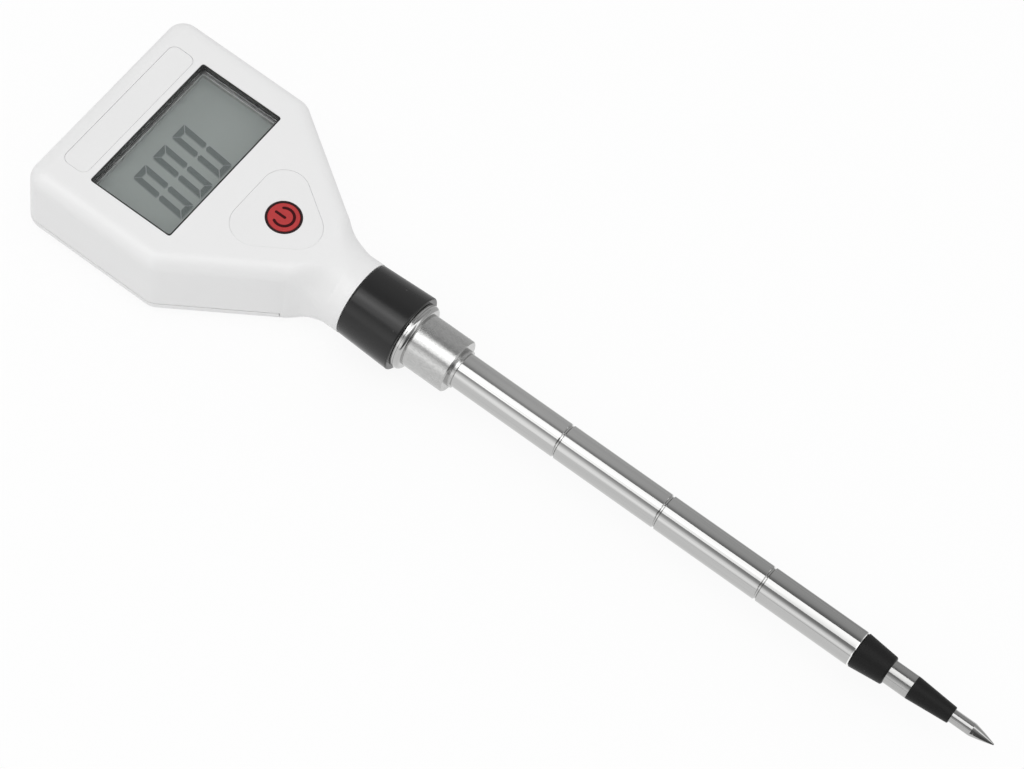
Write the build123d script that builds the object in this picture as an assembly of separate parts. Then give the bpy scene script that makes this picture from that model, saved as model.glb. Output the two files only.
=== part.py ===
from build123d import *
import os
from math import asin, cos, pi, radians, sin, sqrt, tan

# Soil conductivity meter, in millimetres. The probe axis is the Y axis and its tip points to -Y.
# The display faces +Z. The origin is on the probe axis, where the shaft leaves the ferrule.

# Head
head_width = 51.7
straight_side = 33.9
slant_angle = 34.5
neck_length = 9.14
neck_radius = 8.4
face_height = 10.3
rear_depth = 10.0
parting_depth = 5.8
wall = 2.0
edge_radius = 3.5
corner_round = 0.6
shoulder_round = 1.0
blend_rise = 3.0
blend_fall = 5.4
blend_softness = 0.35
blend_flat = 0.1
blend_steps = 4
seam_gap = 0.2
seam_rise = 0.3
lap_height = 1.5

# Display
window_width = 37.0
window_height = 20.8
window_drop = 22.2
window_corner = 0.6
bezel_wall = 0.3
bezel_ledge = 0.4
bezel_flange = 1.2
bezel_sink = 0.1
lens_sink = 1.3
lens_thickness = 1.5
glass_depth = 4.2
glass_thickness = 1.2
glass_margin_x = 1.2
glass_margin_y = 1.6
contact_ledge = 1.4
strip_width = 1.2
holder_wall = 1.2
holder_ledge = 1.5

# Inlays and key
inlay_thickness = 0.4
inlay_sink = 0.05
label_width = 36.6
label_height = 6.2
label_drop = 7.15
label_radius = 1.8
overlay_half_width = 15.0
overlay_rise = 29.75
overlay_radius = 5.3
button_rise = 20.85
button_radius = 3.4
button_proud = 0.1
button_edge = 0.25
button_travel = 0.7
button_flange = 1.0
button_flange_thickness = 0.8
button_stem_radius = 1.6
trim_width = 0.5
switch_size = 6.0
switch_height = 3.4
plunger_radius = 1.7
plunger_proud = 1.0
plunger_depth = 1.1

# Board
board_thickness = 1.6
board_gap = 0.8
post_radius = 1.9
post_high_x = 9.5
screw_radius = 0.8
screw_head_radius = 1.8
screw_head_height = 1.2
screw_grip = 6.0
chip_size = 10.0
chip_height = 1.5
capacitor_radius = 1.6
capacitor_length = 6.0
capacitor_x = 6.0
amplifier_width = 4.0
amplifier_length = 5.0
amplifier_height = 1.6
resistor_width = 1.2
resistor_length = 2.0
resistor_height = 0.5
resistor_pitch = 2.4
resistor_count = 4
resistor_first_x = -6.0

# Case screws
boss_radius = 3.0
front_boss_radius = 2.6
boss_low_x = 8.5
boss_low_rise = 22.5
case_screw_radius = 1.05
case_head_radius = 2.0
case_head_height = 1.4
case_head_seat = 2.6
case_screw_grip = 6.0

# Battery bay and door
cell_radius = 5.8
cell_height = 5.4
cell_cap_radius = 4.6
cell_cap_height = 0.3
bay_clear = 0.4
bay_wall = 1.2
bay_drop = 20.2
door_thickness = 1.5
door_lap = 0.6
door_lead = 1.1
door_travel = 16.0
rail_width = 1.2
rail_thickness = 0.6
rail_length = 19.0
shelf_thickness = 1.2
grip_count = 5
grip_pitch = 1.8
grip_width = 0.8
grip_depth = 0.4
grip_length = 12.0
link_thickness = 0.3
link_width = 5.0
spring_thickness = 0.3
spring_width = 4.0
spring_reach = 2.5

# Probe joint
spigot_radius = 6.6
thread_depth = 0.4
spigot_length = 6.9
plug_radius = 5.3
plug_clear = 0.3
plug_seat_radius = 4.4
plug_seat_depth = 2.5
key_width = 1.6
key_height = 0.4
socket_radius = 6.3
socket_length = 10.0
socket_step = 0.5
pin_radius = 0.5
pin_pitch = 2.4
pin_count = 4
pin_reach = 4.7
sleeve_radius = 0.9
tail_radius = 0.3
tail_length = 4.5
seal_radius = 0.5
collar_length = 12.9
collar_top_radius = 8.35
collar_low_radius = 8.85
collar_top_edge = 0.35
collar_low_edge = 0.35
collar_gap = 0.15
inner_flange_radius = 6.95
inner_flange_thickness = 2.0

# Ferrule and shaft
ring_radius = 7.6
ring_thickness = 1.85
ring_edge = 0.9
ring_line_rise = 1.1
ring_line_width = 0.2
ring_line_depth = 0.2
barrel_radius = 6.15
barrel_length = 9.95
barrel_edge = 0.25
lip_radius = 4.4
lip_length = 1.0
shaft_radius = 4.0
shaft_wall = 0.8
shaft_length = 98.9
shaft_edge = 0.35
shaft_grip = 13.0
shaft_step = 0.3
groove_first = 25.7
groove_pitch = 25.1
groove_count = 3
groove_width = 0.3
groove_depth = 0.35
groove_rim = 0.22

# Electrodes
upper_insulator_length = 7.35
upper_insulator_top = 3.95
upper_insulator_low = 3.2
upper_insulator_seat = 8.0
ring_electrode_length = 5.43
ring_electrode_radius = 2.64
lower_insulator_length = 9.58
lower_insulator_low = 1.87
insulator_edge = 0.5
tip_radius = 1.46
tip_length = 4.82
cone_length = 5.1
cone_belly = 0.08
point_radius = 0.15
tip_stem_radius = 0.9
insulation_wall = 0.6
ring_stem_wall = 0.6
stem_step = 1.5
wire_radius = 0.25
lead_radius = 0.15
sensor_length = 3.0

# Clearances
static_gap = 0.1
slide_gap = 0.1
running_gap = 0.06
free_gap = 0.6

# Places along the probe axis
slant = radians(slant_angle)
ring_low_y = lip_length + barrel_length
collar_low_y = ring_low_y + ring_thickness + slide_gap
neck_y = collar_low_y + collar_length + collar_gap
slant_meet_y = neck_y + neck_length
blend_y = slant_meet_y + blend_rise
neck_top_y = slant_meet_y - blend_fall
shoulder_y = slant_meet_y + (head_width / 2 - neck_radius) / tan(slant)
top_y = shoulder_y + straight_side
seam_y = blend_y + seam_rise
cavity_low_y = seam_y + wall
spigot_low_y = neck_y - spigot_length
flange_top_y = spigot_low_y - 2 * seal_radius - slide_gap
flange_low_y = flange_top_y - inner_flange_thickness
plug_low_y = flange_top_y - plug_seat_depth
socket_low_y = neck_y + socket_step
socket_high_y = socket_low_y + socket_length
window_y = top_y - window_drop
button_y = neck_y + button_rise
bay_y = top_y - bay_drop

# Heights across the head
ceiling_z = face_height - wall
rear_z = -rear_depth
parting_z = -parting_depth
board_top_z = -tail_radius
board_low_z = board_top_z - board_thickness
glass_top_z = face_height - glass_depth
glass_mid_z = glass_top_z - glass_thickness
glass_low_z = glass_mid_z - glass_thickness
lens_top_z = face_height - lens_sink
lens_low_z = lens_top_z - lens_thickness
switch_top_z = board_top_z + switch_height
plunger_top_z = switch_top_z + plunger_proud
boss_meet_z = parting_z + lap_height
door_top_z = rear_z + door_thickness
shelf_low_z = door_top_z + 2 * slide_gap
cell_low_z = door_top_z + slide_gap
cell_top_z = cell_low_z + cell_height

# Sizes that follow
panel_width = window_width + 2 * glass_margin_x
panel_height = window_height + 2 * glass_margin_y
holder_width = panel_width + 2 * (static_gap + holder_wall)
holder_height = panel_height + 2 * (static_gap + holder_wall)
post_low_y = window_y - holder_height / 2 - free_gap - post_radius
post_high_y = window_y + holder_height / 2 + free_gap + post_radius
trim_radius = button_radius + trim_width
bay_half_x = 2 * cell_radius + 1.5 * bay_clear
bay_half_y = cell_radius + bay_clear
cell_x = cell_radius + bay_clear / 2
door_half = bay_half_x + door_lap
door_low_y = bay_y - bay_half_y - bay_wall - door_lead
boss_high_x = door_half + rail_width + static_gap + free_gap + boss_radius
boss_high_y = top_y - edge_radius - case_head_radius - 2 * static_gap
shaft_bore = shaft_radius - shaft_wall
shaft_seat = shaft_radius - shaft_step
shaft_low_y = -shaft_length
upper_insulator_low_y = shaft_low_y - upper_insulator_length
ring_electrode_low_y = upper_insulator_low_y - ring_electrode_length
lower_insulator_low_y = ring_electrode_low_y - lower_insulator_length
tip_shoulder_y = lower_insulator_low_y - tip_length
tip_y = tip_shoulder_y - cone_length
insulation_radius = tip_stem_radius + insulation_wall
ring_stem_radius = insulation_radius + ring_stem_wall
upper_seat_y = shaft_low_y + upper_insulator_seat
ring_stem_y = upper_seat_y + stem_step
insulation_y = ring_stem_y + stem_step
tip_stem_y = insulation_y + stem_step


def half_width(y, inset=0.0):
    """Half the plan width of the slanted sides, drawn in by an inset."""
    return head_width / 2 - (shoulder_y - y) * tan(slant) - inset / cos(slant)


boss_places = [(side * boss_low_x, neck_y + boss_low_rise) for side in (-1, 1)]
boss_places += [(side * boss_high_x, boss_high_y) for side in (-1, 1)]
post_low_x = half_width(post_low_y, wall + board_gap) - post_radius - free_gap
post_places = [(side * post_low_x, post_low_y) for side in (-1, 1)]
post_places += [(side * post_high_x, post_high_y) for side in (-1, 1)]
pin_places = [(i - (pin_count - 1) / 2) * pin_pitch for i in range(pin_count)]


def slab(outline, z_low, z_high):
    """A plan outline raised from one height to another."""
    return extrude(Plane.XY.offset(z_low) * outline, z_high - z_low)


def brick(x_low, x_high, y_low, y_high, z_low, z_high):
    """A box between two corners."""
    middle = Pos((x_low + x_high) / 2, (y_low + y_high) / 2, (z_low + z_high) / 2)
    return middle * Box(x_high - x_low, y_high - y_low, z_high - z_low)


def post(radius, x, y, z_low, z_high):
    """A round post that stands along Z."""
    return Pos(x, y, (z_low + z_high) / 2) * Cylinder(radius, z_high - z_low)


def rod(radius, y_low, y_high, x=0.0, z=0.0):
    """A round bar along the probe axis."""
    return Pos(x, (y_low + y_high) / 2, z) * Rot(90, 0, 0) * Cylinder(radius, y_high - y_low)


def turned(*corners):
    """A body turned about the probe axis from (radius, y) corners."""
    return revolve(make_face(Polyline(*corners, close=True)), Axis.Y)


def together(pieces):
    """Several pieces as one body."""
    return Part() + list(pieces)


def circles_at(shape, y, radius):
    """The round edges of a turned body at one place and radius."""
    return [e for e in shape.edges()
            if abs(e.center().Y - y) < 1e-4 and abs(e.length - 2 * pi * radius) < 1e-3]


def head_outline(inset, y_low):
    """The head's plan outline, drawn in by an inset, down to a straight lower end."""
    half = head_width / 2 - inset
    bend_y = shoulder_y + inset * (1 / cos(slant) - 1) / tan(slant)
    right = [(half_width(y_low, inset), y_low), (half, bend_y), (half, top_y - inset)]
    left = [(-x, y) for x, y in reversed(right)]
    outline = Sketch() + make_face(Polyline(*right, *left, close=True))
    outline = fillet(outline.vertices().group_by(Axis.Y)[-1], edge_radius + corner_round - inset)
    return fillet(outline.vertices().group_by(Axis.Y)[1], edge_radius + shoulder_round - inset)


def soft_block(inset, y_low):
    """The head's block with rounded front and rear edges, drawn in by an inset."""
    block = slab(head_outline(inset, y_low), rear_z + inset, face_height - inset)
    flats = block.faces().sort_by(Axis.Z)
    rims = [e for flat in (flats[0], flats[-1]) for e in flat.edges() if e.center().Y > y_low + 1e-3]
    return fillet(rims, edge_radius - inset)


def neck_section(y):
    """One section of the blend from the block's end to the round neck."""
    along = (blend_y - y) / (blend_y - neck_top_y)
    share = along * along * (3 - 2 * along)
    top = face_height + (neck_radius - face_height) * share
    low = rear_z - (neck_radius - rear_depth) * share
    spare = half_width(y) - neck_radius
    half = neck_radius + (spare + sqrt(spare * spare + 4 * blend_softness ** 2)) / 2
    widest = 1 - blend_flat
    start_x = edge_radius / cos(slant)
    round_x = min(start_x + (neck_radius - start_x) * share, half * widest)
    round_z = min(edge_radius + (neck_radius - edge_radius) * share, (top - low) / 2 * widest)
    in_x, top_in, low_in = half - round_x, top - round_z, low + round_z
    rim = [
        Line((-in_x, top), (in_x, top)),
        EllipticalCenterArc((in_x, top_in), round_x, round_z, start_angle=0, arc_size=90),
        Line((half, top_in), (half, low_in)),
        EllipticalCenterArc((in_x, low_in), round_x, round_z, start_angle=270, arc_size=90),
        Line((in_x, low), (-in_x, low)),
        EllipticalCenterArc((-in_x, low_in), round_x, round_z, start_angle=180, arc_size=90),
        Line((-half, low_in), (-half, top_in)),
        EllipticalCenterArc((-in_x, top_in), round_x, round_z, start_angle=90, arc_size=90),
    ]
    return Plane((0, y, 0), x_dir=(1, 0, 0), z_dir=(0, -1, 0)) * make_face(rim)


def neck_circle(y):
    """The round end of the blend, cut into as many arcs as the other sections have edges."""
    half_arc = asin(blend_flat)
    cuts = []
    for quarter in range(4):
        middle = pi / 2 - quarter * pi / 2
        cuts += [middle + half_arc, middle - half_arc]
    cuts.append(cuts[0] - 2 * pi)
    rim = []
    for start, end in zip(cuts, cuts[1:]):
        ring = [(neck_radius * cos(a), neck_radius * sin(a)) for a in (start, (start + end) / 2, end)]
        rim.append(ThreePointArc(*ring))
    return Plane((0, y, 0), x_dir=(1, 0, 0), z_dir=(0, -1, 0)) * make_face(rim)


def head_body():
    """The closed outer form of the head with its neck."""
    block = soft_block(0, blend_y)
    end = block.faces().sort_by(Axis.Y)[0]
    step = (blend_y - neck_top_y) / (blend_steps + 1)
    between = [neck_section(blend_y - step * (i + 1)) for i in range(blend_steps)]
    blend = loft([end] + between + [neck_circle(neck_top_y)])
    return block + blend + rod(neck_radius, neck_y, neck_top_y)


def head_shell():
    """The head's walls, hollow inside and bored through the neck."""
    bore = rod(socket_radius, socket_low_y, cavity_low_y + wall)
    return head_body() - soft_block(wall, cavity_low_y) - bore


def rear_space(gap):
    """The space behind the parting line, drawn back by a gap."""
    return brick(-head_width, head_width, seam_y + gap, top_y + wall,
                 rear_z - wall, parting_z - gap)


def overlay_outline():
    """The rounded triangle around the key."""
    top = neck_y + overlay_rise
    apex = top - overlay_half_width / tan(slant)
    corners = [(-overlay_half_width, top), (0, apex), (overlay_half_width, top)]
    outline = Sketch() + make_face(Polyline(*corners, close=True))
    return fillet(outline.vertices(), overlay_radius)


def label_outline(gap):
    """The rounded rectangle above the display, drawn in by a gap."""
    width, height = label_width - 2 * gap, label_height - 2 * gap
    return Pos(0, top_y - label_drop) * RectangleRounded(width, height, label_radius - gap)


def window_outline(inset):
    """The display opening, drawn in by an inset, or grown by a negative one."""
    width, height = window_width - 2 * inset, window_height - 2 * inset
    return Pos(0, window_y) * RectangleRounded(width, height, window_corner)


def front_housing():
    """White front shell with the whole neck, its threaded spigot, bosses and posts."""
    body = head_shell() - rear_space(0)
    lap = slab(head_outline(wall / 2, seam_y + wall / 2), parting_z, boss_meet_z)
    body -= lap
    anchor = ceiling_z + wall / 4
    for x, y in boss_places:
        body += post(front_boss_radius, x, y, boss_meet_z, anchor)
        body -= post(case_screw_radius, x, y, boss_meet_z, boss_meet_z + case_screw_grip + free_gap)
    for x, y in post_places:
        body += post(post_radius, x, y, board_top_z, anchor)
        body -= post(screw_radius, x, y, board_top_z, board_top_z + screw_grip)
    pocket = face_height - inlay_thickness - inlay_sink
    body -= slab(window_outline(0), 0, face_height + wall)
    body -= slab(label_outline(0), pocket, face_height + wall)
    body -= slab(overlay_outline(), pocket, face_height + wall)
    body -= post(trim_radius, 0, button_y, 0, face_height + wall)
    bore_radius = plug_radius + plug_clear
    body += rod(spigot_radius, spigot_low_y, neck_y + socket_step)
    body -= rod(bore_radius, spigot_low_y, socket_low_y)
    keyway_half = key_width / 2 + slide_gap
    keyway_top = plug_radius + key_height + plug_clear
    return body - brick(-keyway_half, keyway_half, spigot_low_y, socket_low_y, 0, keyway_top)


def door_slot(gap):
    """The way that the battery door slides in, out through the top edge."""
    reach = top_y + wall
    low = door_low_y - gap
    plate = brick(-door_half - gap, door_half + gap, low, reach, rear_z - wall, shelf_low_z)
    rail = door_half + rail_width + gap
    rail_low = door_top_z - rail_thickness - gap
    return plate + brick(-rail, rail, low, reach, rail_low, shelf_low_z)


def rear_cover():
    """White rear tray with its lap, screw bosses, battery bay and the door's slot."""
    body = head_shell() & rear_space(seam_gap)
    lap_out = wall / 2 + static_gap
    lap = slab(head_outline(lap_out, seam_y + lap_out), parting_z - wall, boss_meet_z - static_gap)
    body += lap - slab(head_outline(wall, cavity_low_y), parting_z - 2 * wall, boss_meet_z)
    for x, y in boss_places:
        body += post(boss_radius, x, y, rear_z + wall / 2, boss_meet_z)
    shelf_half = door_half + rail_width + 2 * static_gap + wall / 2
    inside_y = top_y - wall / 2
    shelf_top = shelf_low_z + shelf_thickness
    body += brick(-shelf_half, shelf_half, door_low_y - wall / 2, inside_y, shelf_low_z, shelf_top)
    wall_x, wall_y = bay_half_x + bay_wall, bay_half_y + bay_wall
    wall_top = board_low_z - free_gap / 2
    body += brick(-wall_x, wall_x, bay_y - wall_y, bay_y + wall_y, shelf_low_z, wall_top)
    body -= brick(-bay_half_x, bay_half_x, bay_y - bay_half_y, bay_y + bay_half_y, rear_z, 0)
    body -= door_slot(slide_gap)
    for x, y in boss_places:
        body -= post(case_head_radius + 2 * static_gap, x, y, rear_z - wall, rear_z + case_head_seat)
        body -= post(case_screw_radius + static_gap, x, y, rear_z, boss_meet_z + wall)
    return body


def case_screws():
    """Four screws that hold the rear cover, heads sunk in the cover."""
    seat = rear_z + case_head_seat
    screws = []
    for x, y in boss_places:
        head = post(case_head_radius, x, y, seat - case_head_height, seat)
        screws.append(head + post(case_screw_radius, x, y, seat, boss_meet_z + case_screw_grip))
    return together(screws)


def name_plate():
    """Blank inlay above the display."""
    top = face_height - inlay_sink
    return slab(label_outline(static_gap), top - inlay_thickness, top)


def key_overlay():
    """Rounded-triangle inlay with a hole for the key's trim ring."""
    top = face_height - inlay_sink
    plate = slab(offset(overlay_outline(), -static_gap), top - inlay_thickness, top)
    return plate - post(trim_radius + static_gap, 0, button_y, 0, face_height + wall)


def button_trim():
    """Thin black ring that lines the key's hole."""
    ring = post(trim_radius, 0, button_y, ceiling_z, face_height)
    return ring - post(button_radius + running_gap, 0, button_y, 0, face_height + wall)


def power_button():
    """Red key: a round cap, a stop flange under the face and a stem on the switch."""
    flange_top = ceiling_z - slide_gap
    flange_low = flange_top - button_flange_thickness
    cap = post(button_radius, 0, button_y, flange_low, face_height + button_proud)
    cap = fillet(cap.edges().sort_by(Axis.Z)[-1], button_edge)
    flange = post(button_radius + button_flange, 0, button_y, flange_low, flange_top)
    return cap + flange + post(button_stem_radius, 0, button_y, plunger_top_z, flange_low)


def tact_switch():
    """Switch body on the board, with a well for its plunger."""
    half = switch_size / 2
    body = brick(-half, half, button_y - half, button_y + half, board_top_z, switch_top_z)
    well_low = switch_top_z - plunger_depth - button_travel - 2 * static_gap
    return body - post(plunger_radius + running_gap, 0, button_y, well_low, switch_top_z + wall)


def switch_plunger():
    """Plunger of the switch, pressed by the key's stem."""
    return post(plunger_radius, 0, button_y, switch_top_z - plunger_depth, plunger_top_z)


def lcd_bezel():
    """Dark liner of the display opening, with a ledge for the window and a flange behind the face."""
    outer = static_gap / 2
    ring = slab(window_outline(outer), glass_top_z, face_height - bezel_sink)
    ring += slab(window_outline(-bezel_flange), ceiling_z - bezel_flange, ceiling_z)
    pocket = outer + bezel_wall
    ring -= slab(window_outline(pocket), lens_low_z, face_height + wall)
    return ring - slab(window_outline(pocket + bezel_ledge), 0, face_height)


def lcd_window():
    """Clear plate in the liner."""
    inset = static_gap + bezel_wall
    return slab(window_outline(inset), lens_low_z, lens_top_z)


def lcd_panel():
    """Display glass: the upper sheet overhangs the lower one, where the contacts are."""
    seat = Pos(0, window_y)
    upper = slab(seat * Rectangle(panel_width, panel_height), glass_mid_z, glass_top_z)
    lower_height = panel_height - 2 * contact_ledge
    return upper + slab(seat * Rectangle(panel_width, lower_height), glass_low_z, glass_mid_z)


def lcd_holder():
    """Frame on the board that locates the glass and carries its short sides."""
    seat = Pos(0, window_y)
    top = glass_top_z - static_gap
    inner_width, inner_height = panel_width + 2 * static_gap, panel_height + 2 * static_gap
    frame = slab(seat * Rectangle(holder_width, holder_height), board_top_z, top)
    frame -= slab(seat * Rectangle(inner_width, inner_height), glass_low_z, top)
    open_width = inner_width - 2 * holder_ledge
    frame -= slab(seat * Rectangle(open_width, inner_height), board_top_z, glass_low_z)
    for x, y in boss_places:
        frame -= post(front_boss_radius + free_gap / 2, x, y, board_top_z, top)
    return frame


def lcd_contact_strips():
    """Two elastomer strips from the board up to the glass's contact edges."""
    half = panel_width / 2 - holder_ledge - static_gap
    outer = panel_height / 2
    strips = []
    for side in (-1, 1):
        ends = sorted((window_y + side * outer, window_y + side * (outer - strip_width)))
        strips.append(brick(-half, half, *ends, board_top_z, glass_mid_z))
    return together(strips)


def main_board():
    """Circuit board: a tongue in the neck, a wide middle and a tab between the upper bosses."""
    inset = wall + board_gap
    reach = front_boss_radius + free_gap + static_gap
    tongue_half = boss_low_x - boss_radius - free_gap
    wide_y = neck_y + boss_low_rise + boss_radius + free_gap
    outline = head_outline(inset, wide_y)
    tongue_low = socket_high_y + static_gap
    tongue = Pos(0, (tongue_low + wide_y) / 2) * Rectangle(2 * tongue_half, wide_y - tongue_low)
    board = slab(outline + tongue, board_low_z, board_top_z)
    notch_x = boss_high_x - boss_radius - free_gap
    notch_y = boss_high_y - boss_radius - free_gap
    for side in (-1, 1):
        ends = sorted((side * notch_x, side * head_width))
        board -= brick(*ends, notch_y, top_y, board_low_z - reach, board_top_z + reach)
    for x, y in post_places:
        board -= post(screw_radius + static_gap, x, y, board_low_z, board_top_z)
    return board


def board_screws():
    """Four small screws that hold the board to the posts of the front housing."""
    screws = []
    for x, y in post_places:
        head = post(screw_head_radius, x, y, board_low_z - screw_head_height, board_low_z)
        screws.append(head + post(screw_radius, x, y, board_low_z, board_top_z + screw_grip - free_gap))
    return together(screws)


def controller_chip():
    """Square controller under the display."""
    half = chip_size / 2
    return brick(-half, half, window_y - half, window_y + half, board_top_z, board_top_z + chip_height)


def board_components():
    """Parts on the rear of the board, below the battery bay."""
    row_y = (bay_y - bay_half_y - bay_wall + post_low_y) / 2
    capacitor = rod(capacitor_radius, row_y - capacitor_length / 2, row_y + capacitor_length / 2,
                    capacitor_x, board_low_z - capacitor_radius)
    amplifier = Pos(0, row_y) * Rectangle(amplifier_width, amplifier_length)
    pieces = [capacitor, slab(amplifier, board_low_z - amplifier_height, board_low_z)]
    for i in range(resistor_count):
        x = resistor_first_x - i * resistor_pitch
        resistor = Pos(x, row_y) * Rectangle(resistor_width, resistor_length)
        pieces.append(slab(resistor, board_low_z - resistor_height, board_low_z))
    return together(pieces)


def button_cell(cap_up):
    """One button cell at the middle of the bay, its small cap up or down."""
    can_height = cell_height - cell_cap_height
    can_low = cell_low_z if cap_up else cell_low_z + cell_cap_height
    cap_low = cell_low_z + can_height if cap_up else cell_low_z
    can = post(cell_radius, 0, bay_y, can_low, can_low + can_height)
    return can + post(cell_cap_radius, 0, bay_y, cap_low, cap_low + cell_cap_height)


def battery_cells():
    """Two button cells side by side, one turned over."""
    return together([Pos(-cell_x) * button_cell(True), Pos(cell_x) * button_cell(False)])


def battery_contacts():
    """Two folded spring strips from the board to the cells."""
    reach, thick = spring_reach, spring_thickness
    fold = board_low_z - thick
    profile = Polyline(
        (reach, board_low_z), (-reach, board_low_z), (-reach, fold - thick),
        (reach - 2 * thick, cell_top_z), (reach, cell_top_z), (reach, cell_top_z + thick),
        (-reach + 2 * thick, fold), (reach, fold), close=True)
    strips = []
    for x in (-cell_x, cell_x):
        plane = Plane((x, bay_y + spring_width / 2, 0), x_dir=(1, 0, 0), z_dir=(0, -1, 0))
        strips.append(extrude(plane * make_face(profile), spring_width))
    return together(strips)


def cell_link_box(gap):
    """The place of the link in the door, grown by a gap."""
    half_x, half_y = cell_x + cell_cap_radius / 2 + gap, link_width / 2 + gap
    return brick(-half_x, half_x, bay_y - half_y, bay_y + half_y, door_top_z - link_thickness, door_top_z)


def cell_link():
    """Strip in the door that joins the two cells."""
    return cell_link_box(0)


def battery_door():
    """Sliding door that carries on the rear cover's rounded top edge, with rails and a thumb grip."""
    reach = brick(-door_half, door_half, door_low_y, top_y + wall, rear_z - wall, door_top_z)
    plate = head_body() & reach
    rail_half = door_half + rail_width
    rail_low_y = door_low_y + rail_width
    plate += brick(-rail_half, rail_half, rail_low_y, rail_low_y + rail_length,
                   door_top_z - rail_thickness, door_top_z)
    plate -= cell_link_box(static_gap / 2)
    for i in range(grip_count):
        y = bay_y + (i - (grip_count - 1) / 2) * grip_pitch
        plate -= brick(-grip_length / 2, grip_length / 2, y - grip_width / 2, y + grip_width / 2,
                       rear_z, rear_z + grip_depth)
    return plate


def probe_socket():
    """Insulating insert in the neck that holds the contact sleeves."""
    body = rod(socket_radius, socket_low_y, socket_high_y)
    return body - together(rod(sleeve_radius, socket_low_y, socket_high_y, x) for x in pin_places)


def socket_contacts():
    """Contact sleeves with tails that lie on the board's tongue."""
    contacts = []
    well_y = socket_low_y + pin_reach + free_gap
    for x in pin_places:
        sleeve = rod(sleeve_radius, socket_low_y, socket_high_y, x)
        sleeve -= rod(pin_radius + running_gap, socket_low_y, well_y, x)
        contacts.append(sleeve + rod(tail_radius, socket_high_y, socket_high_y + tail_length, x))
    return together(contacts)


def seal_ring():
    """Round seal on the ferrule's flange, against the spigot's end."""
    middle = (plug_radius + spigot_radius) / 2
    place = Plane((0, flange_top_y + seal_radius, 0), x_dir=(1, 0, 0), z_dir=(0, 1, 0))
    return place * Torus(middle, seal_radius)


def coupling_collar():
    """Smooth conical union nut, turned on the ferrule and screwed on the spigot."""
    top = collar_low_y + collar_length
    shoulder = flange_low_y - slide_gap / 2
    bore, lip_bore = spigot_radius + thread_depth + running_gap, barrel_radius + running_gap
    body = turned((lip_bore, collar_low_y), (collar_low_radius, collar_low_y), (collar_top_radius, top),
                  (bore, top), (bore, shoulder), (lip_bore, shoulder))
    body = fillet(circles_at(body, collar_low_y, collar_low_radius), collar_low_edge)
    return fillet(circles_at(body, top, collar_top_radius), collar_top_edge)


def retaining_ring():
    """Thin polished flange with a turned line, pressed on the ferrule under the collar."""
    top = ring_low_y + ring_thickness
    body = turned((barrel_radius, ring_low_y), (ring_radius, ring_low_y),
                  (ring_radius, top), (barrel_radius, top))
    body = fillet(circles_at(body, ring_low_y, ring_radius), ring_edge)
    low, floor = ring_low_y + ring_line_rise, ring_radius - ring_line_depth
    return body - turned((floor, low), (ring_radius + wall, low), (ring_radius + wall, low + ring_line_width),
                         (floor, low + ring_line_width))


def ferrule():
    """Turned steel barrel with a flange inside the collar and a lip around the shaft."""
    body = turned(
        (shaft_seat, 0), (lip_radius, 0), (lip_radius, lip_length), (barrel_radius, lip_length),
        (barrel_radius, flange_low_y), (inner_flange_radius, flange_low_y),
        (inner_flange_radius, flange_top_y), (plug_seat_radius, flange_top_y),
        (plug_seat_radius, plug_low_y), (shaft_bore, plug_low_y),
        (shaft_bore, shaft_grip), (shaft_seat, shaft_grip))
    return chamfer(circles_at(body, lip_length, barrel_radius), barrel_edge)


def shaft_tube():
    """Steel tube with three bevelled ring grooves and a turned-down end in the ferrule."""
    body = turned((shaft_bore, shaft_low_y), (shaft_radius, shaft_low_y), (shaft_radius, 0),
                  (shaft_seat, 0), (shaft_seat, shaft_grip), (shaft_bore, shaft_grip))
    body = chamfer(circles_at(body, shaft_low_y, shaft_radius), shaft_edge)
    floor, brink = shaft_radius - groove_depth, shaft_radius - groove_rim
    over = shaft_radius + groove_rim
    for i in range(groove_count):
        low = -groove_first - i * groove_pitch - groove_width / 2
        high = low + groove_width
        body -= turned((floor, low), (brink, low), (over, low - 2 * groove_rim),
                       (over, high + 2 * groove_rim), (brink, high), (floor, high))
    return body


def upper_insulator():
    """Black tapered insulator, seated in the tube."""
    body = turned(
        (ring_stem_radius, upper_insulator_low_y), (upper_insulator_low, upper_insulator_low_y),
        (upper_insulator_top, shaft_low_y), (shaft_bore, shaft_low_y), (shaft_bore, upper_seat_y),
        (ring_stem_radius, upper_seat_y))
    return fillet(circles_at(body, upper_insulator_low_y, upper_insulator_low), insulator_edge)


def ring_electrode():
    """Steel ring with a hollow stem up through the upper insulator."""
    return turned(
        (insulation_radius, ring_electrode_low_y), (ring_electrode_radius, ring_electrode_low_y),
        (ring_electrode_radius, upper_insulator_low_y), (ring_stem_radius, upper_insulator_low_y),
        (ring_stem_radius, ring_stem_y), (insulation_radius, ring_stem_y))


def lower_insulator():
    """Black tapered insulator with a sleeve up through the ring electrode."""
    body = turned(
        (tip_stem_radius, lower_insulator_low_y), (lower_insulator_low, lower_insulator_low_y),
        (ring_electrode_radius, ring_electrode_low_y), (insulation_radius, ring_electrode_low_y),
        (insulation_radius, insulation_y), (tip_stem_radius, insulation_y))
    return fillet(circles_at(body, lower_insulator_low_y, lower_insulator_low), insulator_edge / 2)


def tip_electrode():
    """Steel pin with a slightly rounded point and a long stem."""
    middle = ((point_radius + tip_radius) / 2 + cone_belly, (tip_y + tip_shoulder_y) / 2)
    flank = ThreePointArc((point_radius, tip_y), middle, (tip_radius, tip_shoulder_y))
    rest = Polyline((tip_radius, tip_shoulder_y), (tip_radius, lower_insulator_low_y),
                    (tip_stem_radius, lower_insulator_low_y), (tip_stem_radius, tip_stem_y),
                    (0, tip_stem_y), (0, tip_y), (point_radius, tip_y))
    return revolve(make_face(flank + rest), Axis.Y)


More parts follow.
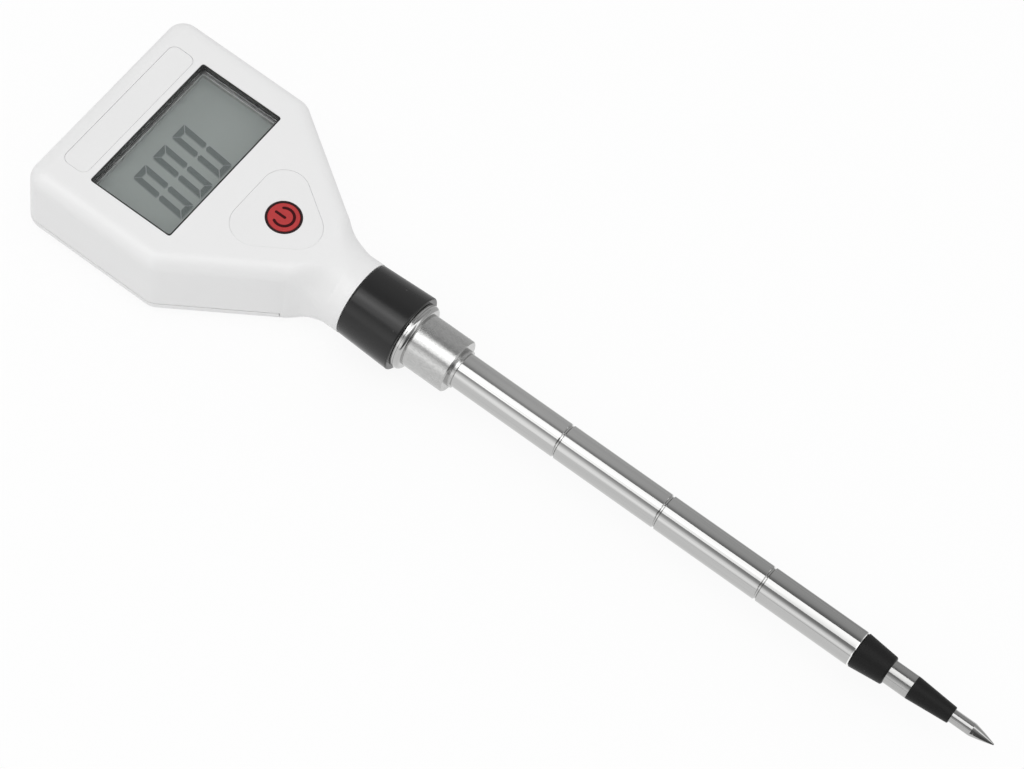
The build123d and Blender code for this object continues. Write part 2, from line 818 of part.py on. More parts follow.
def probe_plug():
    """Insulating plug on the ferrule, with a key that fits the spigot."""
    top = socket_low_y - 2 * slide_gap
    body = rod(plug_seat_radius, plug_low_y, flange_top_y) + rod(plug_radius, flange_top_y, top)
    half = key_width / 2
    body += brick(-half, half, spigot_low_y, top, 0, plug_radius + key_height)
    return body - together(rod(pin_radius, flange_top_y, top, x) for x in pin_places)


def plug_pins():
    """Contact pins of the plug."""
    return together(rod(pin_radius, flange_top_y, socket_low_y + pin_reach, x) for x in pin_places)


def sensor_x():
    """Middle of the gap between the ring electrode's stem and the tube."""
    return -(ring_stem_radius + shaft_bore) / 2


def temperature_sensor():
    """Bead thermistor beside the stems, on the upper insulator's end."""
    radius = (shaft_bore - ring_stem_radius) / 2 - static_gap / 2
    return rod(radius, upper_seat_y, upper_seat_y + sensor_length, sensor_x())


def probe_wires():
    """Wires from the electrodes and the sensor up to the plug."""
    ring_x = (insulation_radius + ring_stem_radius) / 2 + lead_radius / 3
    wires = [rod(wire_radius, tip_stem_y, plug_low_y), rod(wire_radius, ring_stem_y, plug_low_y, ring_x)]
    for side in (-1, 1):
        z = side * (lead_radius + static_gap / 2)
        wires.append(rod(lead_radius, upper_seat_y + sensor_length, plug_low_y, sensor_x(), z))
    return together(wires)


NODES = [
    front_housing, rear_cover, case_screws, name_plate, key_overlay, button_trim, power_button,
    tact_switch, switch_plunger, lcd_bezel, lcd_window, lcd_panel, lcd_holder, lcd_contact_strips,
    main_board, board_screws, controller_chip, board_components, battery_cells, battery_contacts,
    cell_link, battery_door, probe_socket, socket_contacts, seal_ring, coupling_collar,
    retaining_ring, ferrule, shaft_tube, upper_insulator, ring_electrode, lower_insulator,
    tip_electrode, probe_plug, plug_pins, temperature_sensor, probe_wires,
]

os.makedirs("parts", exist_ok=True)
for node in NODES:
    export_step(node(), f"parts/{node.__name__}.step")
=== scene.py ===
"""Looks, studio and camera of the soil conductivity meter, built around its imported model."""

import logging
import math
from collections.abc import Mapping, Sequence
from dataclasses import dataclass
from enum import Enum

import bmesh
import bpy
from bmesh.types import BMesh, BMVert
from bpy.types import Material, Mesh, Node, NodeTree
from bpy.types import NodeSocket as Socket
from bpy.types import Object as Piece
from mathutils import Matrix, Vector


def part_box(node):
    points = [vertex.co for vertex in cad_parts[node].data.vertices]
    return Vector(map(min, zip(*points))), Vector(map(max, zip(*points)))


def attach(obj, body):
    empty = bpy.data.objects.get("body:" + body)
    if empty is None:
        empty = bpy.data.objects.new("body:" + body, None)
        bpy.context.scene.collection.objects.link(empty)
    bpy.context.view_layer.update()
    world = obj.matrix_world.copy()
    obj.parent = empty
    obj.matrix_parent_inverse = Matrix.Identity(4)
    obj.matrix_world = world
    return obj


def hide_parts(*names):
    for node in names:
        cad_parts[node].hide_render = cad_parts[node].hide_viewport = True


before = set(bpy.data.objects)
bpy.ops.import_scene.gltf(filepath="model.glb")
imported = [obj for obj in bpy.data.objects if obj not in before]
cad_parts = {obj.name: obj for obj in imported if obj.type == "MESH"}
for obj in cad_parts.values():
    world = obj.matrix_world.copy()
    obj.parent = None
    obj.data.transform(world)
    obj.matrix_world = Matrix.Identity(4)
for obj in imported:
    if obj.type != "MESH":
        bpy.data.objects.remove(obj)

LOG = logging.getLogger("soil_meter")
MM = 0.001

# Numbers of the shared surface patterns
WHOLE = (0.0, 1.0)
NOISE_CORE = (0.3, 0.7)
NOISE_MIDDLE = 0.5
GRAIN_DETAIL = 2.0
MOTTLE_DETAIL = 3.0
LINE_DETAIL = 4.0
SMEAR_SCALE = 140.0
SMEAR_DETAIL = 4.0
SMEAR_RANGE = (0.5, 0.72)
SPECK_SCALE = 420.0
SPECK_EDGE = (0.05, 0.09)
SPECK_GROUP_SCALE = 260.0
SPECK_GROUP_RANGE = (0.6, 0.66)

Triple = tuple[float, float, float]
Colour = Triple
Point = tuple[float, float]
Value = float | tuple[float, ...] | Socket
Inputs = Mapping[str, Value] | Mapping[int, Value]


class SocketKind(Enum):
    """Kinds of socket on a shared effect."""

    NUMBER = "NodeSocketFloat"
    COLOUR = "NodeSocketColor"
    VECTOR = "NodeSocketVector"


class Effect(Enum):
    """Surface effects that several finishes share."""

    GRAIN = "moulded_grain"
    LINES = "tool_lines"
    MARKS = "handling_marks"


# Node graphs


class Graph:
    """Adds nodes to one node tree and links them."""

    def __init__(self, tree: NodeTree) -> None:
        """Starts on a node tree."""
        self.tree = tree

    def node(self, kind: str, inputs: Inputs | None = None, **settings: object) -> Node:
        """Adds a node.

        Args:
            kind: Blender's name of the node type.
            inputs: What feeds the node's inputs, by name or by number.
            settings: Attributes to set on the node.

        Returns:
            The new node.
        """
        made = self.tree.nodes.new(kind)
        for name, setting in settings.items():
            setattr(made, name, setting)
        for key, value in (inputs or {}).items():
            self.feed(made.inputs[key], value)
        return made

    def feed(self, socket: Socket, value: Value) -> None:
        """Links a socket to another one, or sets its plain value.

        Args:
            socket: The socket to feed.
            value: A socket to link from, a number, or a colour or vector.
        """
        if isinstance(value, Socket):
            self.tree.links.new(value, socket)
        elif socket.type == "RGBA" and len(value) == 3:
            socket.default_value = (*value, 1.0)
        else:
            socket.default_value = value

    def math(self, operation: str, first: Value, second: Value) -> Socket:
        """Gives a sum of two numbers; the operation is Blender's name of the sum."""
        return self.node("ShaderNodeMath", {0: first, 1: second}, operation=operation).outputs[0]

    def times(self, vector: Value, factor: Value) -> Socket:
        """Multiplies a colour or vector by one number, or by a factor for each axis."""
        return self.node("ShaderNodeVectorMath", {0: vector, 1: factor}, operation="MULTIPLY").outputs[0]

    def blend(self, share: Value, first: Value, second: Value) -> Socket:
        """Mixes two colours; the share is that of the second one."""
        # Blender's Mix node has its colours at inputs 6 and 7 and its mixed colour at output 2.
        return self.node("ShaderNodeMix", {0: share, 6: first, 7: second}, data_type="RGBA").outputs[2]

    def place(self) -> Socket:
        """Gives the place on the piece, in metres."""
        return self.node("ShaderNodeTexCoord").outputs["Object"]

    def along(self, axis: str) -> Socket:
        """Gives the place along the piece's X, Y or Z axis, in metres."""
        return self.node("ShaderNodeSeparateXYZ", {0: self.place()}).outputs[axis]

    def noise(self, vector: Value, scale: Value, detail: float) -> Socket:
        """Gives a noise from 0 to 1; the scale is in cells per unit, the detail in finer layers."""
        inputs = {"Vector": vector, "Scale": scale, "Detail": detail}
        return self.node("ShaderNodeTexNoise", inputs).outputs[0]

    def ranged(self, value: Value, source: Point, target: Point) -> Socket:
        """Maps a number from one range to another and stays inside it."""
        inputs = dict(enumerate((value, *source, *target)))
        return self.node("ShaderNodeMapRange", inputs).outputs[0]


def per_metre(cell_mm: float) -> float:
    """Gives the cells per metre of a pattern, from the size of a cell in millimetres."""
    return 1.0 / (cell_mm * MM)


def new_material(name: str) -> tuple[Material, Graph]:
    """Makes a material.

    Args:
        name: The material's name.

    Returns:
        The material and its node graph.
    """
    made = bpy.data.materials.new(name)
    made.use_nodes = True
    return made, Graph(made.node_tree)


# Sockets of the shared effects: what each takes in and gives out, and what the two patterns add
SURFACE = {"Colour": SocketKind.COLOUR, "Roughness": SocketKind.NUMBER}
PATTERN_INPUTS = SURFACE | {"Shade": SocketKind.NUMBER, "Spread": SocketKind.NUMBER}
PATTERN_OUTPUTS = SURFACE | {"Height": SocketKind.NUMBER}


class EffectShelf:
    """Shared surface effects, each built once as a shader node group, and the materials made with them."""

    def __init__(self) -> None:
        """Builds every effect."""
        self.materials: dict[str, Material] = {}
        self._groups = {
            Effect.GRAIN: self._moulded_grain(),
            Effect.LINES: self._tool_lines(),
            Effect.MARKS: self._handling_marks(),
        }

    def place(self, graph: Graph, effect: Effect, inputs: Inputs) -> Node:
        """Places an effect in a material, with what feeds its inputs by name."""
        return graph.node("ShaderNodeGroup", inputs, node_tree=self._groups[effect])

    @staticmethod
    def _start(
        effect: Effect, inputs: dict[str, SocketKind], outputs: dict[str, SocketKind]
    ) -> tuple[Graph, Node, Node]:
        """Starts a node group.

        Args:
            effect: The effect that the group makes.
            inputs: The group's inputs, by name.
            outputs: The group's outputs, by name.

        Returns:
            The group's graph, its input node and its output node.
        """
        tree = bpy.data.node_groups.new(effect.value, "ShaderNodeTree")
        for side, sockets in (("INPUT", inputs), ("OUTPUT", outputs)):
            for name, kind in sockets.items():
                tree.interface.new_socket(name, in_out=side, socket_type=kind.value)
        graph = Graph(tree)
        return graph, graph.node("NodeGroupInput"), graph.node("NodeGroupOutput")

    @staticmethod
    def _deliver(
        graph: Graph, ends: tuple[Node, Node], darkens: Value, uneven: Value, height: Value
    ) -> NodeTree:
        """Turns patterns into a group's colour, roughness and height.

        Args:
            graph: The group's graph.
            ends: The group's input node and its output node.
            darkens: Pattern that darkens the colour.
            uneven: Pattern that swings the roughness up and down.
            height: Pattern of the height.

        Returns:
            The finished group.
        """
        given, result = ends[0].outputs, ends[1].inputs
        shade = graph.math("MULTIPLY", graph.ranged(darkens, NOISE_CORE, WHOLE), given["Shade"])
        swing = graph.math("MULTIPLY", uneven, given["Spread"])
        graph.feed(result["Colour"], graph.times(given["Colour"], graph.math("SUBTRACT", 1.0, shade)))
        graph.feed(result["Roughness"], graph.math("ADD", given["Roughness"], swing))
        graph.feed(result["Height"], height)
        return graph.tree

    @classmethod
    def _moulded_grain(cls) -> NodeTree:
        """Builds the fine grain and slow unevenness of a moulded surface.

        Returns:
            The group.
        """
        inputs = PATTERN_INPUTS | {"Grain Scale": SocketKind.NUMBER, "Mottle Scale": SocketKind.NUMBER}
        graph, given, result = cls._start(Effect.GRAIN, inputs, PATTERN_OUTPUTS)
        place = graph.place()
        fine = graph.noise(place, given.outputs["Grain Scale"], GRAIN_DETAIL)
        broad = graph.noise(place, given.outputs["Mottle Scale"], MOTTLE_DETAIL)
        uneven = graph.math("SUBTRACT", fine, NOISE_MIDDLE)
        return cls._deliver(graph, (given, result), broad, uneven, fine)

    @classmethod
    def _tool_lines(cls) -> NodeTree:
        """Builds the fine lines that a lathe or a brush leaves on metal.

        Returns:
            The group.
        """
        inputs = PATTERN_INPUTS | {
            "Stretch": SocketKind.VECTOR, "Patch Scale": SocketKind.NUMBER, "Patch Height": SocketKind.NUMBER,
        }
        graph, given, result = cls._start(Effect.LINES, inputs, PATTERN_OUTPUTS)
        place = graph.place()
        lines = graph.noise(graph.times(place, given.outputs["Stretch"]), 1.0, LINE_DETAIL)
        patches = graph.noise(place, given.outputs["Patch Scale"], GRAIN_DETAIL)
        uneven = graph.math("SUBTRACT", graph.math("ADD", lines, patches), 2 * NOISE_MIDDLE)
        raised = graph.math("MULTIPLY", patches, given.outputs["Patch Height"])
        return cls._deliver(graph, (given, result), lines, uneven, graph.math("ADD", lines, raised))

    @classmethod
    def _handling_marks(cls) -> NodeTree:
        """Builds the smears and specks that handling leaves.

        Returns:
            The group.
        """
        inputs = SURFACE | {
            "Smear": SocketKind.NUMBER, "Speck": SocketKind.NUMBER, "Speck Colour": SocketKind.COLOUR,
        }
        graph, given, result = cls._start(Effect.MARKS, inputs, SURFACE)
        place = graph.place()
        smear = graph.ranged(graph.noise(place, SMEAR_SCALE, SMEAR_DETAIL), SMEAR_RANGE, WHOLE)
        cells = graph.node("ShaderNodeTexVoronoi", {"Vector": place, "Scale": SPECK_SCALE})
        near = graph.ranged(cells.outputs["Distance"], SPECK_EDGE, (1.0, 0.0))
        few = graph.ranged(graph.noise(place, SPECK_GROUP_SCALE, 0.0), SPECK_GROUP_RANGE, WHOLE)
        speck = graph.math("MULTIPLY", graph.math("MULTIPLY", near, few), given.outputs["Speck"])
        colour = graph.blend(speck, given.outputs["Colour"], given.outputs["Speck Colour"])
        raised = graph.math("MULTIPLY", smear, given.outputs["Smear"])
        graph.feed(result.inputs["Colour"], colour)
        graph.feed(result.inputs["Roughness"], graph.math("ADD", given.outputs["Roughness"], raised))
        return graph.tree


# Finishes


@dataclass(frozen=True)
class Finish:
    """What every finish has: a name, a colour, a roughness and handling marks."""

    name: str
    colour: Colour
    roughness: float
    smear: float = 0.05
    speck: float = 0.0
    speck_colour: Colour = (0.4, 0.4, 0.39)

    def material(self, shelf: EffectShelf) -> Material:
        """Builds the material, or finds it if it was built before.

        Args:
            shelf: The shared effects.

        Returns:
            The material.
        """
        if self.name in shelf.materials:
            return shelf.materials[self.name]
        made, graph = new_material(self.name)
        shelf.materials[self.name] = made
        made.diffuse_color = (*self.colour, 1.0)
        self.paint(graph, made.node_tree.nodes["Principled BSDF"], shelf)
        return made

    def paint(self, graph: Graph, shader: Node, shelf: EffectShelf) -> None:
        """Feeds the shader; each kind of finish has its own way."""
        raise NotImplementedError

    def ground(self, graph: Graph) -> Value:
        """Gives the colour under the finish's patterns."""
        return self.colour

    def wear(self, graph: Graph, shader: Node, shelf: EffectShelf, colour: Value, roughness: Value) -> None:
        """Lays handling marks over a colour and a roughness, and feeds the shader with both.

        Args:
            graph: The material's node graph.
            shader: The shader.
            shelf: The shared effects.
            colour: The colour under the marks.
            roughness: The roughness under the marks.
        """
        marks = shelf.place(graph, Effect.MARKS, {
            "Colour": colour, "Roughness": roughness,
            "Smear": self.smear, "Speck": self.speck, "Speck Colour": self.speck_colour,
        })
        graph.feed(shader.inputs["Base Color"], marks.outputs["Colour"])
        graph.feed(shader.inputs["Roughness"], marks.outputs["Roughness"])

    @staticmethod
    def bump(graph: Graph, shader: Node, height: Value, depth_mm: float) -> None:
        """Lets a height pattern of 0 to 1 bend the shading; its depth is in millimetres."""
        made = graph.node("ShaderNodeBump", {"Distance": depth_mm * MM, "Height": height})
        graph.feed(shader.inputs["Normal"], made.outputs["Normal"])


@dataclass(frozen=True)
class Moulded(Finish):
    """Moulded plastic or rubber."""

    speck: float = 0.25
    shade: float = 0.03
    spread: float = 0.06
    grain_mm: float = 0.16
    grain_depth_mm: float = 0.003
    mottle_mm: float = 14.0
    gloss: float = 0.5

    def paint(self, graph: Graph, shader: Node, shelf: EffectShelf) -> None:
        """Feeds the shader with grain, then with handling marks.

        Args:
            graph: The material's node graph.
            shader: The shader.
            shelf: The shared effects.
        """
        grain = shelf.place(graph, Effect.GRAIN, {
            "Colour": self.ground(graph), "Shade": self.shade,
            "Roughness": self.roughness, "Spread": self.spread,
            "Grain Scale": per_metre(self.grain_mm), "Mottle Scale": per_metre(self.mottle_mm),
        })
        self.wear(graph, shader, shelf, grain.outputs["Colour"], grain.outputs["Roughness"])
        shader.inputs["Specular IOR Level"].default_value = self.gloss
        if self.grain_depth_mm:
            self.bump(graph, shader, grain.outputs["Height"], self.grain_depth_mm)


@dataclass(frozen=True)
class PaintedLightSteps(Moulded):
    """Moulded plastic whose grey follows the height, as painted light and shade; the levels go up, as (height
    in mm, grey).
    """

    levels: tuple[Point, ...] = ((0.0, 0.0), (1.0, 1.0))

    def ground(self, graph: Graph) -> Value:
        """Gives the steps of grey, which paint light and shade by height.

        Args:
            graph: The material's node graph.

        Returns:
            The socket that gives the grey.
        """
        low, high = self.levels[0][0], self.levels[-1][0]
        share = graph.ranged(graph.along("Z"), (low * MM, high * MM), WHOLE)
        ramp = graph.node("ShaderNodeValToRGB", {0: share})
        steps = ramp.color_ramp.elements
        for _ in self.levels[2:]:
            steps.new(0.5)
        for step, (height, grey) in zip(steps, self.levels):
            step.position = (height - low) / (high - low)
            step.color = (grey, grey, grey, 1.0)
        return ramp.outputs["Color"]


@dataclass(frozen=True)
class Machined(Finish):
    """Turned, drawn or plated metal, with tool lines sized across and along the probe."""

    smear: float = 0.06
    shade: float = 0.10
    spread: float = 0.10
    line_across_mm: float = 0.3
    line_along_mm: float = 25.0
    line_depth_mm: float = 0.0006
    patch_mm: float = 3.0
    patch_height: float = 2.0

    def paint(self, graph: Graph, shader: Node, shelf: EffectShelf) -> None:
        """Feeds the shader with tool lines, then with handling marks.

        Args:
            graph: The material's node graph.
            shader: The shader.
            shelf: The shared effects.
        """
        across, along = per_metre(self.line_across_mm), per_metre(self.line_along_mm)
        lines = shelf.place(graph, Effect.LINES, {
            "Colour": self.ground(graph), "Shade": self.shade,
            "Roughness": self.roughness, "Spread": self.spread,
            "Stretch": (across, along, across), "Patch Scale": per_metre(self.patch_mm),
            "Patch Height": self.patch_height,
        })
        self.wear(graph, shader, shelf, lines.outputs["Colour"], lines.outputs["Roughness"])
        shader.inputs["Metallic"].default_value = 1.0
        self.bump(graph, shader, lines.outputs["Height"], self.line_depth_mm)


@dataclass(frozen=True)
class MachinedWithPaintedGlint(Machined):
    """Machined metal with a painted highlight: its bright rim at the end towards the tip stands in for the
    glint on the end's chamfer.
    """

    rim_y_mm: float = 0.0
    rim_fade_mm: float = 0.03
    painted_glint_colour: Colour = (0.94, 0.94, 0.93)

    def ground(self, graph: Graph) -> Value:
        """Gives the colour under the lines, which turns bright at the rim as a painted highlight."""
        fade = (self.rim_y_mm * MM, (self.rim_y_mm + self.rim_fade_mm) * MM)
        return graph.blend(graph.ranged(graph.along("Y"), fade, (1.0, 0.0)), self.colour, self.painted_glint_colour)


@dataclass(frozen=True)
class ClearPlate(Finish):
    """Clear moulded plate with a faint haze of wipe marks."""

    smear: float = 0.04
    ior: float = 1.49

    def paint(self, graph: Graph, shader: Node, shelf: EffectShelf) -> None:
        """Feeds the shader with the haze and lets light through.

        Args:
            graph: The material's node graph.
            shader: The shader.
            shelf: The shared effects.
        """
        self.wear(graph, shader, shelf, self.colour, self.roughness)
        shader.inputs["Transmission Weight"].default_value = 1.0
        shader.inputs["IOR"].default_value = self.ior


# The finishes of this meter. Colours are linear.
WHITE_SHELL = Moulded("white_shell", (0.82, 0.82, 0.82), 0.42, shade=0.012, speck=0.0, smear=0.04)
WHITE_INLAY = Moulded("white_inlay", (0.805, 0.805, 0.805), 0.5, shade=0.015, speck=0.0, grain_mm=0.08)
BLACK_COLLAR = Moulded("black_collar", (0.019, 0.019, 0.0192), 0.18, speck=0.12, smear=0.06, gloss=0.3)
BLACK_TRIM = Moulded("black_trim", (0.012, 0.011, 0.011), 0.45, speck=0.0)
# Painted light on the display's liner: the pale band from 7.0 to 7.44 mm is a painted highlight line at the
# window's edge, and the pale wall below it is painted over the shade beside the glass; above 7.48 mm the grey
# darkens towards the top.
LINER_PAINTED_LIGHT = PaintedLightSteps(
    "liner_painted_light", (0.03, 0.03, 0.03), 0.25, smear=0.1, speck=0.0, shade=0.18, spread=0.0,
    grain_mm=0.7, grain_depth_mm=0.0, mottle_mm=0.7,
    levels=(
        (6.1, 0.5), (6.9, 0.55), (7.0, 0.9), (7.44, 0.9),
        (7.48, 0.16), (8.2, 0.09), (9.0, 0.06), (10.2, 0.025)))
BLACK_INSULATOR = Moulded("black_insulator", (0.011, 0.011, 0.011), 0.42, speck=0.06, gloss=0.16)
RED_KEY = Moulded("red_key", (0.47, 0.03, 0.032), 0.45, shade=0.08, mottle_mm=1.5, speck=0.0, gloss=0.3)
KEY_PRINT = Moulded("key_print", (0.045, 0.002, 0.004), 0.6, speck=0.0, grain_mm=0.05, gloss=0.1)
KEY_TRIM = Moulded("key_trim", (0.022, 0.006, 0.007), 0.5, speck=0.0, gloss=0.25)
DISPLAY_GREY = Moulded(
    "display_grey", (0.36, 0.395, 0.385), 0.45, shade=0.05, mottle_mm=9.0, grain_mm=0.04, speck=0.0)
SEGMENT_GREY = Moulded(
    "segment_grey", (0.12, 0.145, 0.145), 0.45, shade=0.12, mottle_mm=1.2, grain_mm=0.04, speck=0.0)
# Grey of the segments' painted shadow on the display.
SEGMENT_PAINTED_SHADOW = Moulded(
    "segment_painted_shadow", (0.25, 0.28, 0.275), 0.45, shade=0.1, mottle_mm=2.0, grain_mm=0.04, speck=0.0)
CLEAR_WINDOW = ClearPlate("window_clear", (0.97, 0.98, 0.975), 0.02)
DARK_FRAME = Moulded("dark_frame", (0.06, 0.06, 0.062), 0.5)
SEAL_RUBBER = Moulded("seal_rubber", (0.03, 0.03, 0.03), 0.6, gloss=0.35)
SWITCH_BLACK = Moulded("switch_black", (0.03, 0.03, 0.032), 0.5)
BOARD_MASK = Moulded("board_mask", (0.02, 0.16, 0.065), 0.28, shade=0.35, mottle_mm=1.6, grain_mm=0.3)
CHIP_BLACK = Moulded("chip_mould", (0.025, 0.025, 0.026), 0.55, speck=0.1)
WIRE_COAT = Moulded("wire_sleeve", (0.05, 0.05, 0.052), 0.35, grain_mm=0.3)
# From y -98.42 mm towards the tip the shaft turns near white: a painted highlight for the glint on its end
# chamfer.
SHAFT_STEEL = MachinedWithPaintedGlint(
    "shaft_steel", (0.515, 0.515, 0.51), 0.05, shade=0.07, spread=0.05, line_depth_mm=0.001, patch_mm=1.1,
    patch_height=2.5, smear=0.03, rim_y_mm=-98.42)
BARREL_STEEL = Machined(
    "barrel_steel", (0.535, 0.535, 0.53), 0.22, shade=0.16, spread=0.12, line_along_mm=0.7,
    line_depth_mm=0.003, patch_mm=0.8)
RING_STEEL = Machined("ring_steel", (0.52, 0.52, 0.515), 0.1, line_along_mm=0.2, line_across_mm=6.0)
PIN_STEEL = Machined(
    "pin_steel", (0.45, 0.45, 0.445), 0.09, shade=0.06, line_along_mm=0.15, line_across_mm=5.0)
SCREW_STEEL = Machined("screw_zinc", (0.5, 0.5, 0.49), 0.3, line_along_mm=0.3)
CELL_NICKEL = Machined("cell_plating", (0.66, 0.655, 0.63), 0.22, line_across_mm=0.2, line_along_mm=6.0)
SPRING_NICKEL = Machined("spring_nickel", (0.62, 0.6, 0.55), 0.3)
CONTACT_GOLD = Machined("contact_plating", (0.75, 0.55, 0.22), 0.25)


# Mesh helpers


def lathe(bm: BMesh, profile: Sequence[Point], place: Matrix, steps: int) -> None:
    """Turns a profile about the local Z axis.

    Args:
        bm: The mesh that receives the turned form.
        profile: Points of (radius, height), in millimetres.
        place: Where the local axes lie, in millimetres.
        steps: Faces round the axis.
    """
    rings = []
    for radius, height in profile:
        turns = range(steps) if radius > 0 else range(1)
        angles = [2 * math.pi * i / steps for i in turns]
        points = [Vector((radius * math.cos(a), radius * math.sin(a), height)) for a in angles]
        rings.append([bm.verts.new(place @ point * MM) for point in points])
    for low, high in zip(rings, rings[1:]):
        for i in range(steps):
            j = i + 1
            corners = (low[i % len(low)], low[j % len(low)], high[j % len(high)], high[i % len(high)])
            unlike = list(dict.fromkeys(corners))
            if len(unlike) > 2:
                bm.faces.new(unlike)


def tube(bm: BMesh, rings: Sequence[Sequence[BMVert]]) -> None:
    """Joins rings of equally many points with faces and closes both ends.

    Args:
        bm: The mesh that receives the faces.
        rings: The rings, from one end to the other.
    """
    for near, far in zip(rings, rings[1:]):
        for i in range(len(near)):
            j = (i + 1) % len(near)
            bm.faces.new((near[i], near[j], far[j], far[i]))
    bm.faces.new(rings[-1])
    bm.faces.new(list(reversed(rings[0])))


def plate(bm: BMesh, outline: Sequence[Point], z_low: float, z_high: float) -> None:
    """Raises a flat outline to a thin plate.

    Args:
        bm: The mesh that receives the plate.
        outline: Corners in plan, anticlockwise, in millimetres.
        z_low: Height of the underside, in millimetres.
        z_high: Height of the top, in millimetres.
    """
    tube(bm, [[bm.verts.new(Vector((x, y, z)) * MM) for x, y in outline] for z in (z_low, z_high)])


def made_object(name: str, bm: BMesh, smooth_degrees: float = 35.0) -> Piece:
    """Puts a finished mesh into the scene, with its faces turned outwards.

    Args:
        name: The piece's name.
        bm: The mesh, which is used up.
        smooth_degrees: Edges that bend by more than this stay sharp.

    Returns:
        The new object.
    """
    bmesh.ops.recalc_face_normals(bm, faces=bm.faces)
    closed = all(edge.is_manifold for edge in bm.edges)
    if closed and bm.calc_volume(signed=True) < 0:
        bmesh.ops.reverse_faces(bm, faces=bm.faces)
    mesh = bpy.data.meshes.new(name)
    bm.to_mesh(mesh)
    bm.free()
    mesh.shade_smooth()
    mesh.set_sharp_from_angle(angle=math.radians(smooth_degrees))
    piece = bpy.data.objects.new(name, mesh)
    bpy.context.scene.collection.objects.link(piece)
    return piece


def cut_away(piece: Piece, tool: Piece) -> None:
    """Cuts one piece out of another and removes the tool.

    Args:
        piece: The piece that is cut.
        tool: The form that is cut away.
    """
    cut = piece.modifiers.new("cut", "BOOLEAN")
    cut.operation = "DIFFERENCE"
    cut.solver = "EXACT"
    cut.object = tool
    graph = bpy.context.evaluated_depsgraph_get()
    result = bpy.data.meshes.new_from_object(piece.evaluated_get(graph))
    piece.modifiers.clear()
    old = piece.data
    piece.data = result
    bpy.data.meshes.remove(old)
    bpy.data.objects.remove(tool)


# Sub-assemblies


@dataclass
class SubAssembly:
    """A part of the meter that dresses its own nodes and adds its own pieces."""

    shelf: EffectShelf

    def coat(self, mesh: Mesh, finish: Finish) -> None:
        """Gives a mesh one finish in place of what it had."""
        mesh.materials.clear()
        mesh.materials.append(finish.material(self.shelf))

    def dress(self, finish: Finish, *nodes: str) -> None:
        """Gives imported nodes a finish.

        Args:
            finish: The finish.
            nodes: Names of the nodes.
        """
        for name in nodes:
            self.coat(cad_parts[name].data, finish)
            LOG.info("%s: %s", name, finish.name)

    def add(self, piece: Piece, finish: Finish, body: str, slot: str) -> Piece:
        """Finishes a new piece and lets it ride on a body.

        Args:
            piece: The piece.
            finish: Its finish.
            body: The body that carries it.
            slot: The record's material slot that it belongs to; not used.

        Returns:
            The piece.
        """
        self.coat(piece.data, finish)
        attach(piece, body)
        LOG.info("%s: %s, rides on %s", piece.name, finish.name, body)
        return piece

    def build(self) -> None:
        """Dresses the nodes and adds the pieces."""
        raise NotImplementedError


